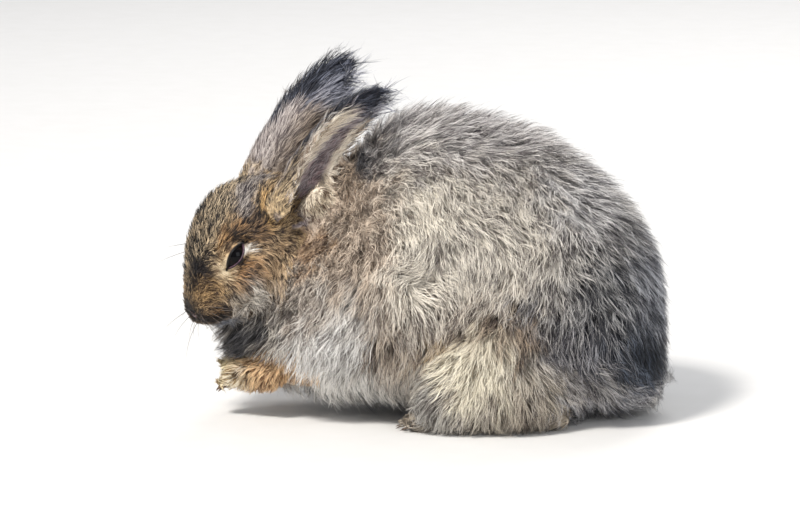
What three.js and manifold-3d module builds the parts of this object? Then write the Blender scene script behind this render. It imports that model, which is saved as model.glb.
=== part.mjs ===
// A long-haired rabbit, life size, as a still display model. It sits hunched on its hind feet with its head
// bent and its forepaws held together under the chin, as a rabbit does when it washes.
// Millimetres, +Z up, floor at z = 0. It faces -X and its left side is towards -Y.
// The solids reach the tips of the coat. Neighbouring pieces keep a small gap.
import * as THREE from "three";
import { LoftGeometry } from "three/addons/geometries/LoftGeometry.js";
import { mergeVertices } from "three/addons/utils/BufferGeometryUtils.js";
import Module from "manifold-3d";

const GAP = 0.3; // between neighbouring pieces
const SHARPEST = 0.4; // keeps a corner of a cutter from moving out more than 2.5 gaps
const FLOOR_SIZE = 900; // the block that trims what would hang below the floor

// Head: the origin of its own frame, near the point midway between the eyes, and how the head is held.
const HEAD_AT = [-134, -22, 107];
const HEAD_NOD = 40; // degrees, nose down
const HEAD_TURN = 31.5; // degrees, towards its left
const HEAD_TILT = -12.4; // degrees, left side up
const EYE_RADIUS = 10;
const EYE_AT = [1, 18, -3]; // an eye's centre in the head's own frame, sideways counted outwards
const SOCKET_DISH = [12.5, 8, 8.5]; // half sizes of the shallow dish that each eye looks out of
const SOCKET_OFFSET = 4; // from an eye's front out to the middle of its dish
const SOCKET_SLANT = 14; // degrees, the eye's opening rises towards the back

// Ears: where each starts and ends, the way its open side faces, and how wide it is held.
const EARS = {
  left: { base: [-98, -25, 130], tip: [-28, -38, 211], open: [0.42, -0.78, -0.4], width: 0.88 },
  right: { base: [-117, 14, 133], tip: [-49, 30, 223], open: [0.4, 0.75, -0.34], width: 1.2 },
};

const EAR_AXIS = 12; // from an ear's back to the line that it stands on, low down
const EDGE_THINNING = 0.45; // share of an ear's wall that is gone at its edges

const HIND_FOOT_SIDE = 64; // from the body's middle to a hind foot's middle
const CLAW_RADIUS = 1.3;
const LEFT = -1;
const RIGHT = 1;

const wasm = await Module();
wasm.setup();

const radians = THREE.MathUtils.degToRad;
const vector = (xyz) => new THREE.Vector3(...xyz);

// Keys joined by smooth curves: each column of the table is a spline, read at even steps.
function sampled(keys, steps) {
  const columns = keys[0].map((_, c) => {
    return new THREE.SplineCurve(keys.map((key, k) => new THREE.Vector2(k, key[c])));
  });
  return Array.from({ length: steps + 1 }, (_, i) => columns.map((curve) => curve.getPoint(i / steps).y));
}

// A closed geometry as a manifold-3d solid.
function solidOf(geometry) {
  const bare = new THREE.BufferGeometry().setAttribute("position", geometry.getAttribute("position"));
  if (geometry.index) bare.setIndex(geometry.index);
  const merged = mergeVertices(bare, 1e-4);
  return new wasm.Manifold(
    new wasm.Mesh({
      numProp: 3,
      vertProperties: new Float32Array(merged.attributes.position.array),
      triVerts: new Uint32Array(merged.index.array),
    }),
  );
}

// A manifold-3d solid as a geometry.
function geometryOf(solid) {
  const { vertProperties, triVerts } = solid.getMesh();
  const geometry = new THREE.BufferGeometry()
    .setAttribute("position", new THREE.BufferAttribute(Float32Array.from(vertProperties), 3))
    .setIndex(new THREE.BufferAttribute(Uint32Array.from(triVerts), 1));
  geometry.computeVertexNormals();
  return geometry;
}

// The solid with its faces moved out by `by`: each corner moves along the mean of its faces' normals, further
// where the faces meet at a sharper angle.
function grown(solid, by) {
  const geometry = geometryOf(solid);
  const { position } = geometry.attributes;
  const corner = (i) => new THREE.Vector3().fromBufferAttribute(position, i);
  const normals = Array.from({ length: position.count }, () => []);
  for (let f = 0; f < geometry.index.count; f += 3) {
    const ids = [0, 1, 2].map((k) => geometry.index.getX(f + k));
    const normal = new THREE.Triangle(...ids.map(corner)).getNormal(new THREE.Vector3());
    for (const i of ids) normals[i].push(normal);
  }
  normals.forEach((around, i) => {
    const mean = around.reduce((sum, normal) => sum.add(normal), new THREE.Vector3()).normalize();
    const least = Math.min(...around.map((normal) => normal.dot(mean)));
    const moved = corner(i).addScaledVector(mean, by / Math.max(least, SHARPEST));
    position.setXYZ(i, moved.x, moved.y, moved.z);
  });
  return solidOf(geometry);
}

// A form along X. Each key is [x, bottom, top, half width, side]. A section is a rounded egg, widest at the
// share `belly` of its height; `square` over 2 makes it fuller at the corners.
function form(keys, { rows, columns, belly = 0.42, square = 2.15 }) {
  const round = (v) => Math.sign(v) * Math.abs(v) ** (2 / square);
  const sections = sampled(keys, rows).map(([x, bottom, top, half, side]) => {
    const widest = bottom + belly * (top - bottom);
    return Array.from({ length: columns }, (_, j) => {
      const angle = (2 * Math.PI * j) / columns;
      const up = round(Math.sin(angle));
      const z = widest + up * (up > 0 ? top - widest : widest - bottom);
      return new THREE.Vector3(x, side + half * round(Math.cos(angle)), z);
    });
  });
  return solidOf(new LoftGeometry(sections, { capStart: true, capEnd: true }));
}

// A limb along a curve. Each key is [x, y, z, half width, half height].
function limb(keys, { rows, columns }) {
  const stations = sampled(keys, rows);
  const points = stations.map(([x, y, z]) => new THREE.Vector3(x, y, z));
  const sections = stations.map(([, , , half, high], i) => {
    const before = points[Math.max(i - 1, 0)];
    const after = points[Math.min(i + 1, rows)];
    const along = after.clone().sub(before).normalize();
    const across = new THREE.Vector3(0, 0, 1).cross(along).normalize();
    const up = along.clone().cross(across);
    return Array.from({ length: columns }, (_, j) => {
      const angle = (2 * Math.PI * j) / columns;
      return points[i]
        .clone()
        .addScaledVector(across, half * Math.cos(angle))
        .addScaledVector(up, high * Math.sin(angle));
    });
  });
  return solidOf(new LoftGeometry(sections, { capStart: true, capEnd: true }));
}

// An egg: a sphere with its own three half sizes, turned about the side axis by `slant` degrees.
function egg(at, halves, { around = 8, slant = 0 } = {}) {
  const ball = new THREE.SphereGeometry(1, around, Math.round(around * 0.6));
  ball.rotateX(Math.PI / 2).scale(...halves).rotateY(radians(slant)).translate(...at);
  return solidOf(ball);
}

// A claw: a slim cone whose base is at `at`, pointing forwards and down.
function claw(at, length, dip) {
  const cone = new THREE.ConeGeometry(CLAW_RADIUS, length, 5);
  cone.translate(0, length / 2, 0).rotateZ(Math.PI / 2 + radians(dip));
  return solidOf(cone.translate(...at));
}

// Head, in its own frame: -X towards the nose, +Z towards the crown.
function headShape() {
  const skull = form(
    [
      [-42.5, -21, -12, 5, 0],
      [-40.5, -26, -7, 10, 0],
      [-36, -30, -2, 14, 0],
      [-28, -35, 4, 18, 0],
      [-18, -39, 12.5, 23, 0],
      [-7, -41.5, 21, 27.5, 0],
      [7, -42, 27, 30, 0],
      [21, -41, 29.5, 32, 0],
      [36, -39, 27, 32.5, 0],
      [50, -33, 20, 29, 0],
      [61, -23, 11, 20, 0],
      [66, -11, 2, 8, 0],
    ],
    { rows: 14, columns: 18, belly: 0.38 },
  );
  const sides = [LEFT, RIGHT].flatMap((side) => [
    egg([-31.5, side * 7.5, -19], [11, 10, 10]), // whisker pad
    egg([3, side * 21, -20], [24, 13, 19]), // cheek
  ]);
  const chin = egg([-25, 0, -32.5], [11, 9.5, 6]);
  const dishes = [LEFT, RIGHT].map((side) => {
    const [x, y, z] = EYE_AT;
    return egg([x, side * (y + EYE_RADIUS + SOCKET_OFFSET), z], SOCKET_DISH, { slant: SOCKET_SLANT });
  });
  return { shapes: [skull, ...sides, chin], hollows: dishes };
}

// An ear, in its own frame: +Z from base to tip, +X the way it opens. Each section is a crescent: an arc of the
// outer radius out and an arc of the inner radius back. Keys are height share, radius, half angle, wall, lean.
function earShape(length, side, width) {
  const rows = 14;
  const arc = 7;
  const keys = [
    [-0.03, 9, 150, 5, 0],
    [0.07, 15.5, 150, 5.5, 0],
    [0.19, 18.5, 138, 5.5, -1],
    [0.34, 18, 112, 5, -6],
    [0.5, 16.5, 94, 4.6, -9],
    [0.66, 15.5, 80, 4.4, -8.5],
    [0.82, 13, 68, 4.2, -5.5],
    [0.94, 9, 56, 3.6, -1.5],
    [1, 4.5, 44, 2.6, 1.5],
  ];
  const sections = sampled(keys, rows).map(([share, plainRadius, halfAngle, wall, lean]) => {
    const radius = plainRadius * (1 + (width - 1) * Math.min(Math.max(share, 0) / 0.3, 1));
    const point = (turn, outer) => {
      const angle = radians(halfAngle) * turn;
      const reach = outer ? radius : radius - wall * (1 - EDGE_THINNING * turn * turn);
      const centre = lean + radius - EAR_AXIS;
      return new THREE.Vector3(centre - reach * Math.cos(angle), reach * Math.sin(angle), share * length);
    };
    const turns = Array.from({ length: arc + 1 }, (_, j) => 1 - (2 * j) / arc);
    return [...turns.map((turn) => point(turn, true)), ...turns.reverse().map((turn) => point(turn, false))];
  });
  const lobe = egg([8, -side * 9, 0.24 * length], [7, 9, 15]); // the rear edge folds in low down
  return { shapes: [solidOf(new LoftGeometry(sections, { capStart: true, capEnd: true })), lobe] };
}

// Neck: the short thick collar of coat between the head and the shoulders.
function neckShape() {
  const collar = form(
    [
      [-106, 86, 114, 12, 0],
      [-100, 76, 128, 26, 0],
      [-88, 67, 141, 37, 0],
      [-71, 62, 154, 44, 0],
      [-52, 66, 170, 50, 0],
      [-37, 82, 182, 45, 0],
      [-29, 108, 172, 26, 0],
    ],
    { rows: 8, columns: 16, belly: 0.3 },
  );
  return { shapes: [collar] };
}

// Trunk: chest, back, belly and rump under the long coat.
function trunkShape() {
  const body = form(
    [
      [-135, 50, 62, 8, 6],
      [-130, 43, 74, 24, 4],
      [-118, 32, 92, 39, 2],
      [-95, 15, 116, 58, 0],
      [-65, 8, 151, 70, 0],
      [-34, 5, 192, 79, 0],
      [0, 4, 202, 86, 0],
      [36, 2, 196.5, 91, 0],
      [71, 1, 186.5, 92, 0],
      [102, -1.2, 167, 87, 0],
      [128, -1.2, 142, 76, 0],
      [146, 0, 117, 59, 0],
      [155, 12, 91, 38, 0],
      [157.5, 36, 62, 12, 0],
    ],
    { rows: 16, columns: 20, belly: 0.36 },
  );
  return { shapes: [body] };
}

// Haunch: thigh and knee of one side, reaching the floor with its coat.
function haunchShape(side) {
  const thigh = form(
    [
      [-9, 14, 28, 9, side * 68],
      [-3, 4, 44, 19, side * 68],
      [14, -0.8, 66, 29, side * 67],
      [38, -1, 86, 36, side * 63],
      [60, -1, 92, 39, side * 59],
      [82, -1, 84, 33, side * 52],
      [98, 1, 64, 22, side * 42],
      [106, 14, 42, 10, side * 34],
    ],
    { rows: 10, columns: 18, belly: 0.38, square: 2.7 },
  );
  return { shapes: [thigh] };
}

// Hind foot: long sole flat on the floor, four toes, each with its claw.
function hindFootShape(side) {
  const middle = side * HIND_FOOT_SIDE;
  const sole = form(
    [
      [-6, 0, 12, 9, middle],
      [-2, -1.5, 17, 14, middle],
      [12, -1.5, 21, 15, middle],
      [42, -1.5, 23, 13.5, middle],
      [76, -1.5, 24, 12.5, middle],
      [90, 1, 20, 9, middle],
      [94, 6, 14, 4, middle],
    ],
    { rows: 7, columns: 12, belly: 0.4 },
  );
  const toes = [-9.6, -3.2, 3.2, 9.6].flatMap((across) => {
    const reach = -7 + Math.abs(across) * 0.45;
    return [
      egg([reach, middle + across, 6.2], [10, 4.1, 6.6], { around: 6 }),
      claw([reach - 8, middle + across, 4], 7, 14),
    ];
  });
  return { shapes: [sole, ...toes] };
}

// Foreleg: forearm and paw lifted clear of the floor, four toes curled over, each with its claw.
function forelegShape(keys, toeTip) {
  const arm = limb(keys, { rows: 9, columns: 10 });
  const toes = [-6, -2, 2, 6].flatMap((across) => {
    const [x, y, z] = toeTip;
    const at = [x + Math.abs(across) * 0.3, y + across * 0.9, z - Math.abs(across) * 0.25];
    return [
      egg(at, [6.5, 3, 4.6], { around: 6, slant: -25 }),
      claw([at[0] - 4.5, at[1], at[2] - 2.5], 5, 35),
    ];
  });
  return { shapes: [arm, ...toes] };
}

const FORELEGS = {
  left: {
    keys: [
      [-60, -44, 50, 7, 7],
      [-66, -42, 47, 11, 12],
      [-82, -37, 41, 13.5, 15],
      [-98, -31, 34, 13.5, 15],
      [-112, -25, 30, 11.5, 12.5],
      [-124, -20, 29, 10, 10.5],
      [-130, -18, 27, 6, 7],
    ],
    toeTip: [-130, -18, 24],
  },
  right: {
    keys: [
      [-60, 42, 50, 7, 7],
      [-66, 40, 48, 11, 12],
      [-82, 32, 43, 13, 14],
      [-98, 21, 39, 12, 13],
      [-112, 10, 38, 11, 11],
      [-122, 4, 38, 9.5, 10],
      [-127, 3, 36, 6, 7],
    ],
    toeTip: [-127, 3, 34],
  },
};

// Tail: a round tuft folded up against the rump, its underside on the floor.
const tailShape = () => ({ shapes: [egg([139, 0, 23.6], [20, 18, 24.4], { around: 12, slant: -8 })] });

const rabbit = new THREE.Group();
const head = new THREE.Group();
head.position.set(...HEAD_AT);
head.rotation.set(radians(HEAD_TILT), radians(-HEAD_NOD), radians(HEAD_TURN), "ZYX");
rabbit.add(head);

// A group standing at `from` with +Z towards `to` and +X as near as it can be to `facing`.
function standing(from, to, facing) {
  const up = vector(to).sub(vector(from)).normalize();
  const across = up.clone().cross(vector(facing)).normalize();
  const group = new THREE.Group();
  group.position.set(...from);
  group.quaternion.setFromRotationMatrix(new THREE.Matrix4().makeBasis(across.clone().cross(up), across, up));
  rabbit.add(group);
  return group;
}

const finish = (color, roughness, metalness = 0) => ({ color, roughness, metalness });
const FINISH = {
  eye: finish(0x150c08, 0.08),
  face: finish(0x7d6146, 0.9),
  ear: finish(0x77727a, 0.9),
  body: finish(0x8f8983, 0.95),
  haunch: finish(0xa79d8d, 0.95),
  limb: finish(0xc59b66, 0.9),
  tail: finish(0xb9b4ab, 0.95),
};

// Every piece with the group it stands in. An earlier piece keeps its shape and later ones are cut round it.
const pieces = [];
for (const [name, side] of Object.entries({ left: LEFT, right: RIGHT })) {
  const [x, y, z] = EYE_AT;
  const ball = egg([x, side * y, z], [EYE_RADIUS, EYE_RADIUS, EYE_RADIUS], { around: 12 });
  pieces.push([`eye_${name}`, head, { shapes: [ball] }, FINISH.eye]);
  const { base, tip, open, width } = EARS[name];
  const length = vector(tip).distanceTo(vector(base));
  pieces.push([`ear_${name}`, standing(base, tip, open), earShape(length, side, width), FINISH.ear]);
}
pieces.push(["head", head, headShape(), FINISH.face]);
for (const [name, side] of Object.entries({ left: LEFT, right: RIGHT })) {
  const { keys, toeTip } = FORELEGS[name];
  pieces.push([`foreleg_${name}`, rabbit, forelegShape(keys, toeTip), FINISH.limb]);
  pieces.push([`hind_foot_${name}`, rabbit, hindFootShape(side), FINISH.limb]);
}
pieces.push(["neck", rabbit, neckShape(), FINISH.body]);
pieces.push(["tail", rabbit, tailShape(), FINISH.tail]);
pieces.push(["haunch_left", rabbit, haunchShape(LEFT), FINISH.haunch]);
pieces.push(["haunch_right", rabbit, haunchShape(RIGHT), FINISH.haunch]);
pieces.push(["trunk", rabbit, trunkShape(), FINISH.body]);

const belowFloor = new THREE.BoxGeometry(FLOOR_SIZE, FLOOR_SIZE, FLOOR_SIZE).translate(0, 0, -FLOOR_SIZE / 2);
const cutters = [solidOf(belowFloor)];
rabbit.updateMatrixWorld(true);
for (const [name, group, { shapes, hollows = [] }, look] of pieces) {
  const intoWorld = [...group.matrixWorld.elements];
  const placed = (solids) => solids.map((solid) => solid.transform(intoWorld));
  const whole = placed(shapes).reduce((all, next) => all.add(next));
  const trimmed = [...placed(hollows), ...cutters].reduce((rest, cutter) => rest.subtract(cutter), whole);
  const largest = trimmed.decompose().sort((a, b) => b.volume() - a.volume())[0];
  cutters.push(...placed(shapes).map((shape) => grown(shape, GAP)));
  const local = largest.transform([...group.matrixWorld.clone().invert().elements]);
  const mesh = new THREE.Mesh(geometryOf(local), new THREE.MeshStandardMaterial(look));
  mesh.name = name;
  group.add(mesh);
}

// The origin is the middle of the footprint, on the floor.
const middle = new THREE.Box3().setFromObject(rabbit, true).getCenter(new THREE.Vector3());
rabbit.position.set(-middle.x, -middle.y, 0);

const part = new THREE.Group();
part.add(rabbit);
export default part;
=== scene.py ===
import math

import bmesh
import bpy
import numpy as np
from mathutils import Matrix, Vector
from mathutils.bvhtree import BVHTree
from mathutils.kdtree import KDTree


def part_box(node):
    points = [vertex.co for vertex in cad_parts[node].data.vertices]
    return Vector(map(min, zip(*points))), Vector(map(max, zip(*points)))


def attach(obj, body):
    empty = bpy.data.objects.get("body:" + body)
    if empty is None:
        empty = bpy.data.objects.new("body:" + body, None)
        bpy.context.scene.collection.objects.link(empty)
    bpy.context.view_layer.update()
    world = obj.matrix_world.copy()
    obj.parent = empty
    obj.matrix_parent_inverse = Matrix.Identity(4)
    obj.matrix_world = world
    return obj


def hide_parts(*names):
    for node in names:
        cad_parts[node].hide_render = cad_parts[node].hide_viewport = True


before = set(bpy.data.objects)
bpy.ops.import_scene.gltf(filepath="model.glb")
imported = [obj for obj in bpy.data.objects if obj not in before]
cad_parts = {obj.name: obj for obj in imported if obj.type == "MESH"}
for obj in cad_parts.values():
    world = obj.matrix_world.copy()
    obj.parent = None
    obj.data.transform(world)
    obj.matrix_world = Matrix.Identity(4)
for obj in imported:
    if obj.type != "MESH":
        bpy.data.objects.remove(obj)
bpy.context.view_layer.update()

# A long-haired rabbit that sits hunched with its head bent. Metres, +Z up. It faces -X, its left side is
# -Y.
MM = 0.001

# How the head is held, in degrees, as in the solids.
HEAD_NOD, HEAD_TURN, HEAD_TILT = 40, 31.5, -12.4

# How deep the skin lies under the tips of the coat, in millimetres.
COAT_DEPTH = {
    "head": 2.6, "eye": 2.6, "ear": 0.9, "neck": 7.5, "trunk": 11.5, "haunch": 8.5,
    "tail": 8, "foreleg": 3.2, "hind_foot": 2.2,
}
SKIN_VOXEL = 2.2 * MM
GAP_FILL = 0.35 * MM  # grows each solid so that the gaps between neighbours close
SOLE = 0.9 * MM  # the lowest that skin and claws go


# ---------------------------------------------------------------- arrays and fields

def unit(rows):
    """Each row divided by its length."""
    return rows / np.maximum(np.linalg.norm(rows, axis=-1, keepdims=True), 1e-12)


def ease(low, high, x):
    """0 below low, 1 above high, and a smooth S between them."""
    t = np.clip((x - low) / (high - low), 0, 1)
    return t * t * (3 - 2 * t)


def blend(a, b, share):
    """a where share is 0, b where it is 1, for rows."""
    return a + (np.asarray(b) - a) * np.asarray(share)[..., None]


def across(rows, ways):
    """The part of each row that is square to the unit row beside it, made a unit row."""
    return unit(rows - (rows * ways).sum(-1, keepdims=True) * ways)


def mirrored(points):
    """Points with Y counted outwards from the middle, so that both sides are alike."""
    return points * (1, 0, 1) + np.abs(points) * (0, 1, 0)


def ripple(points, size, seed, waves=20):
    """A smooth random field of about -1 to 1: cosine waves about `size` long, in random directions,
    summed."""
    rng = np.random.default_rng(seed)
    ways = unit(rng.normal(size=(waves, 3))) * rng.uniform(0.6, 1.5, (waves, 1)) * 2 * math.pi / size
    phases = rng.uniform(0, 2 * math.pi, waves)
    return np.cos(points @ ways.T + phases).sum(-1) * math.sqrt(2 / waves) * 0.7


def wander(points, size, seed, waves=20):
    """Three such fields as one row for each point, with the size in millimetres."""
    return np.stack([ripple(points, size * MM, seed + k, waves) for k in range(3)], 1)


def spot(points, centre, radii, soft=0.5):
    """1 inside an egg, 0 outside it, with a soft edge: by the distance measured in the egg's half sizes."""
    return ease(1 + soft, 1 - soft, np.linalg.norm((points - centre) / radii, axis=-1))


def distance_to_path(points, path):
    """The distance from each point to a line of straight stretches."""
    path = np.asarray(path, float)
    nearest = np.full(len(points), np.inf)
    for a, b in zip(path[:-1], path[1:]):
        share = np.clip((points - a) @ (b - a) / ((b - a) @ (b - a)), 0, 1)
        nearest = np.minimum(nearest, np.linalg.norm(points - a - share[:, None] * (b - a), axis=1))
    return nearest


def srgb(seen):
    """A colour given as it is seen, from 0 to 255, as linear light."""
    seen = np.array(seen) / 255
    return np.where(seen < 0.04045, seen / 12.92, ((seen + 0.055) / 1.055) ** 2.4)


# ---------------------------------------------------------------- where the head and the eyes are

def turned(axis, degrees):
    """The matrix of a turn about one axis: cosine and sine in the plane of the other two."""
    c, s = math.cos(math.radians(degrees)), math.sin(math.radians(degrees))
    a, b = (axis + 1) % 3, (axis + 2) % 3
    matrix = np.eye(3)
    matrix[a, a], matrix[a, b], matrix[b, a], matrix[b, b] = c, -s, s, c
    return matrix


def middle(node):
    """The middle of a node's box."""
    low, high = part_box(node)
    return np.array((low + high) / 2)


SIDES = {"left": -1, "right": 1}
# Columns: the head's own X towards the crown, Y towards its right, Z up through the crown.
HEAD_AXES = turned(2, HEAD_TURN) @ turned(1, -HEAD_NOD) @ turned(0, HEAD_TILT)
EYE_AT = (1, 0, -3)  # the point midway between the eyes, in the head's own frame, in millimetres
HEAD_AT = (middle("eye_left") + middle("eye_right")) / 2 - HEAD_AXES @ EYE_AT * MM
EYE_RADIUS = float(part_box("eye_left")[1].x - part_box("eye_left")[0].x) / 2 / MM
EYE_SLANT = math.radians(14)  # the opening rises towards the back
OPENING_HALF = 9.3  # millimetres, from the middle of the eye's opening to a corner
OPENING_UP, OPENING_DOWN = 4.4, 2.9
LID = 0.75  # millimetres that a lid stands over the eyeball


def in_head(points):
    """Points in the head's own frame, in millimetres."""
    return (points - HEAD_AT) @ HEAD_AXES / MM


def from_head(points):
    """Points of the head's frame, in millimetres, in the frame of the whole."""
    return HEAD_AT + points * MM @ HEAD_AXES.T


def eye_frame(side):
    """The eye's centre and axes in the head's frame: along the opening, up across it, and outwards."""
    outwards = unit(np.array([-0.12, side, 0.05]))
    along = across(np.array([math.cos(EYE_SLANT), 0, math.sin(EYE_SLANT)]), outwards)
    up = np.cross(outwards, along) * -side
    return in_head(middle("eye_left" if side < 0 else "eye_right")), np.stack([along, up, outwards], 1)


def round_eyes(here):
    """For each eye, its axes and the places of points of the head's frame: along, up and outwards."""
    for side in SIDES.values():
        centre, axes = eye_frame(side)
        yield (axes, *((here - centre) @ axes).T)


def opening(along, up):
    """How far a point is outside the eye's opening: the lens where two discs overlap, one for each lid."""
    upper, lower = ((OPENING_HALF**2 + height**2) / (2 * height) for height in (OPENING_UP, OPENING_DOWN))
    above = np.hypot(along, up + upper - OPENING_UP) - upper
    return np.maximum(above, np.hypot(along, up - lower + OPENING_DOWN) - lower)


# ---------------------------------------------------------------- meshes

def mesh_of(name, points, faces):
    """A mesh object from rows of points and rows of corners."""
    points, faces = np.asarray(points, np.float32), np.asarray(faces, np.int32)
    mesh = bpy.data.meshes.new(name)
    mesh.vertices.add(len(points))
    mesh.vertices.foreach_set("co", points.ravel())
    mesh.loops.add(faces.size)
    mesh.loops.foreach_set("vertex_index", faces.ravel())
    mesh.polygons.add(len(faces))
    mesh.polygons.foreach_set("loop_start", np.arange(0, faces.size, faces.shape[1], dtype=np.int32))
    mesh.polygons.foreach_set("use_smooth", np.ones(len(faces), bool))
    mesh.update(calc_edges=True)
    return placed(name, mesh)


def placed(name, data):
    """An object in the scene that holds a mesh, a lamp or a lens."""
    made = bpy.data.objects.new(name, data)
    bpy.context.scene.collection.objects.link(made)
    return made


def closed(name, points, faces):
    """The same, with doubled points joined, open ends closed and all faces turned outwards."""
    piece = mesh_of(name, points, faces)
    bm = bmesh.new()
    bm.from_mesh(piece.data)
    bmesh.ops.remove_doubles(bm, verts=bm.verts, dist=1e-7)
    bmesh.ops.holes_fill(bm, edges=bm.edges, sides=0)
    bmesh.ops.recalc_face_normals(bm, faces=bm.faces)
    for face in bm.faces:
        face.smooth = True
    bm.to_mesh(piece.data)
    bm.free()
    return piece


def grid_faces(rows, columns, looped=False):
    """Quads over a grid of points, joined round its columns, and round its rows too if looped."""
    i, j = np.meshgrid(np.arange(rows if looped else rows - 1), np.arange(columns), indexing="ij")
    corners = [(i, j), (i, (j + 1) % columns), ((i + 1) % rows, (j + 1) % columns), ((i + 1) % rows, j)]
    return np.stack([(row * columns + column).ravel() for row, column in corners], 1)


def rows_of(items, key, width, kind=np.int32):
    """A value of a mesh's points, edges or faces as rows."""
    rows = np.empty(len(items) * width, kind)
    items.foreach_get(key, rows)
    return rows.reshape(-1, width)


def points_of(mesh):
    """A mesh's points as rows."""
    return rows_of(mesh.vertices, "co", 3, np.float32).astype(float)


def triangles_of(mesh):
    """A mesh's faces, cut into triangles."""
    mesh.calc_loop_triangles()
    return rows_of(mesh.loop_triangles, "vertices", 3)


def put(piece, name, values):
    """Stores a value of each point, one number or three."""
    kind, field = ("FLOAT", "value") if values.ndim == 1 else ("FLOAT_VECTOR", "vector")
    layer = piece.data.attributes.new(name, kind, "POINT")
    layer.data.foreach_set(field, values.astype(np.float32).ravel())


def normals_of(points, triangles):
    """Unit normals at points: the sum of the cross products of the sides of their triangles."""
    a, b, c = (points[corner] for corner in triangles.T)
    sums = [
        sum(np.bincount(corner, column, len(points)) for corner in triangles.T)
        for column in np.cross(b - a, c - a).T
    ]
    return unit(np.stack(sums, 1))


class Surface:
    """A mesh as arrays, with the means to smooth a value over it."""

    def __init__(self, mesh):
        self.points, self.triangles = points_of(mesh), triangles_of(mesh)
        self.edges = rows_of(mesh.edges, "vertices", 2)
        self.degree = np.maximum(np.bincount(self.edges.ravel(), minlength=len(self.points)), 1)

    def around(self, values):
        """The mean of a value over the points joined to each point."""
        a, b = self.edges.T
        count = len(self.points)
        rows = values.reshape(count, -1)
        sums = [np.bincount(a, r[b], count) + np.bincount(b, r[a], count) for r in rows.T]
        return (np.stack(sums, 1) / self.degree[:, None]).reshape(values.shape)

    def spread(self, values, times):
        """A value averaged with its surroundings a number of times."""
        for _ in range(times):
            values = (values + self.around(values)) / 2
        return values

    def fair(self, times, weight):
        """Smooths the form and keeps its size: a step in to the mean, then a slightly longer one back
        out."""
        for _ in range(times):
            for step in (0.5, -0.53):
                self.points += step * weight[:, None] * (self.around(self.points) - self.points)

    def normals(self):
        return normals_of(self.points, self.triangles)


# ---------------------------------------------------------------- the skin

NODES = sorted(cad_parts)
KINDS = np.array([node.removesuffix("_left").removesuffix("_right") for node in NODES])


def solids(grown):
    """All solids with their loose corners joined, each grown by a distance: points, triangles, and the
    number of each triangle's node."""
    points, triangles, owners, count = [], [], [], 0
    for number, node in enumerate(NODES):
        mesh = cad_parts[node].data
        corners, inverse = np.unique(np.round(points_of(mesh), 6), axis=0, return_inverse=True)
        faces = inverse.reshape(-1)[triangles_of(mesh)]
        faces = faces[(faces != np.roll(faces, 1, axis=1)).all(1)]
        points.append(corners + normals_of(corners, faces) * grown)
        triangles.append(faces + count)
        owners.append(np.full(len(faces), number))
        count += len(corners)
    return (np.concatenate(rows) for rows in (points, triangles, owners))


def cast_of_solids():
    """All solids as one closed surface of even voxels."""
    points, triangles, _ = solids(GAP_FILL)
    skin = mesh_of("skin", points, triangles)
    remesh = skin.modifiers.new("cast", "REMESH")
    remesh.mode = "VOXEL"
    remesh.voxel_size = SKIN_VOXEL
    cast = bpy.data.meshes.new_from_object(skin.evaluated_get(bpy.context.evaluated_depsgraph_get()))
    skin.modifiers.clear()
    skin.data = cast
    return skin


def refine(mesh, near):
    """Splits the faces near a place into four, by a function that picks points."""
    bm = bmesh.new()
    bm.from_mesh(mesh)
    picked = near(points_of(mesh))
    edges = [e for e in bm.edges if picked[e.verts[0].index] and picked[e.verts[1].index]]
    bmesh.ops.subdivide_edges(bm, edges=edges, cuts=1, use_grid_fill=True)
    bmesh.ops.triangulate(bm, faces=[f for f in bm.faces if len(f.verts) > 4])
    bm.to_mesh(mesh)
    bm.free()


# Grooves and swellings of the face, in the head's frame, in millimetres: the line they follow, with both
# sides alike, then how far they go in or out and how wide they are.
FACE_LINES = [
    ("nostril", [(-41, 3.2, -13.5), (-39.5, 4.6, -16.5), (-40, 2.2, -18.5)], -1.7, 1.1),
    ("split_lip", [(-43, 0, -17.5), (-42, 0, -22), (-40, 0, -26.5)], -1.5, 0.9),
    ("mouth", [(-40, 0, -26.5), (-35, 6, -29), (-28, 10.5, -29.5), (-22, 14, -27)], -1.6, 1.1),
    ("nose_wing", [(-40, 5.5, -12), (-40.5, 6.5, -16)], 0.7, 2.4),
    ("whisker_pad", [(-35, 9, -19), (-29, 12, -20)], 1.4, 5.0),
    ("brow", [(-8, 25, 6), (0, 27, 7.5), (9, 27, 6)], 1.2, 3.0),
    ("under_eye", [(-11, 24, -9), (-3, 28, -12), (7, 29, -10.5)], -0.9, 2.2),
    ("cheekbone", [(-14, 22, -16), (-2, 28, -18.5), (10, 30, -17)], 1.0, 4.5),
    ("tear_line", [(-8.5, 24.5, -6.6), (-13, 22, -9.5), (-17, 20, -12.5)], -0.9, 1.3),
]


def sculpt_face(surface):
    """Moves the skin along its normals by a bell curve of the distance to each line of the face, and wraps
    the lids over the eyeballs."""
    here = in_head(surface.points)
    normals = surface.normals() @ HEAD_AXES
    for _, path, out, width in FACE_LINES:
        bell = np.exp(-((distance_to_path(mirrored(here), path) / width) ** 2))
        here += normals * (out * bell)[:, None]
    for axes, along, up, out in round_eyes(here):
        outside = opening(along, up)
        flat = along**2 + up**2
        ball = np.sqrt(np.maximum((EYE_RADIUS - 1.2) ** 2 - flat, 0))
        crease = -0.35 * np.exp(-(((outside - 3.0) / 0.8) ** 2))
        lid = np.sqrt(np.maximum((EYE_RADIUS + LID) ** 2 - flat, 9)) + crease
        hold = (1 - ease(1.0, 6.5, outside)) * (out > 0) * (flat < 19**2)
        here += ((np.where(outside < 0, ball, lid) - out) * hold)[:, None] * axes[:, 2]
    surface.points = from_head(here)


def front_of_face(points):
    """Which points are in a box round the front of the head, in the head's frame."""
    x, y, z = in_head(points).T
    return (x < 34) & (x > -60) & (np.abs(y) < 40) & (z > -48) & (z < 36)


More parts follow.
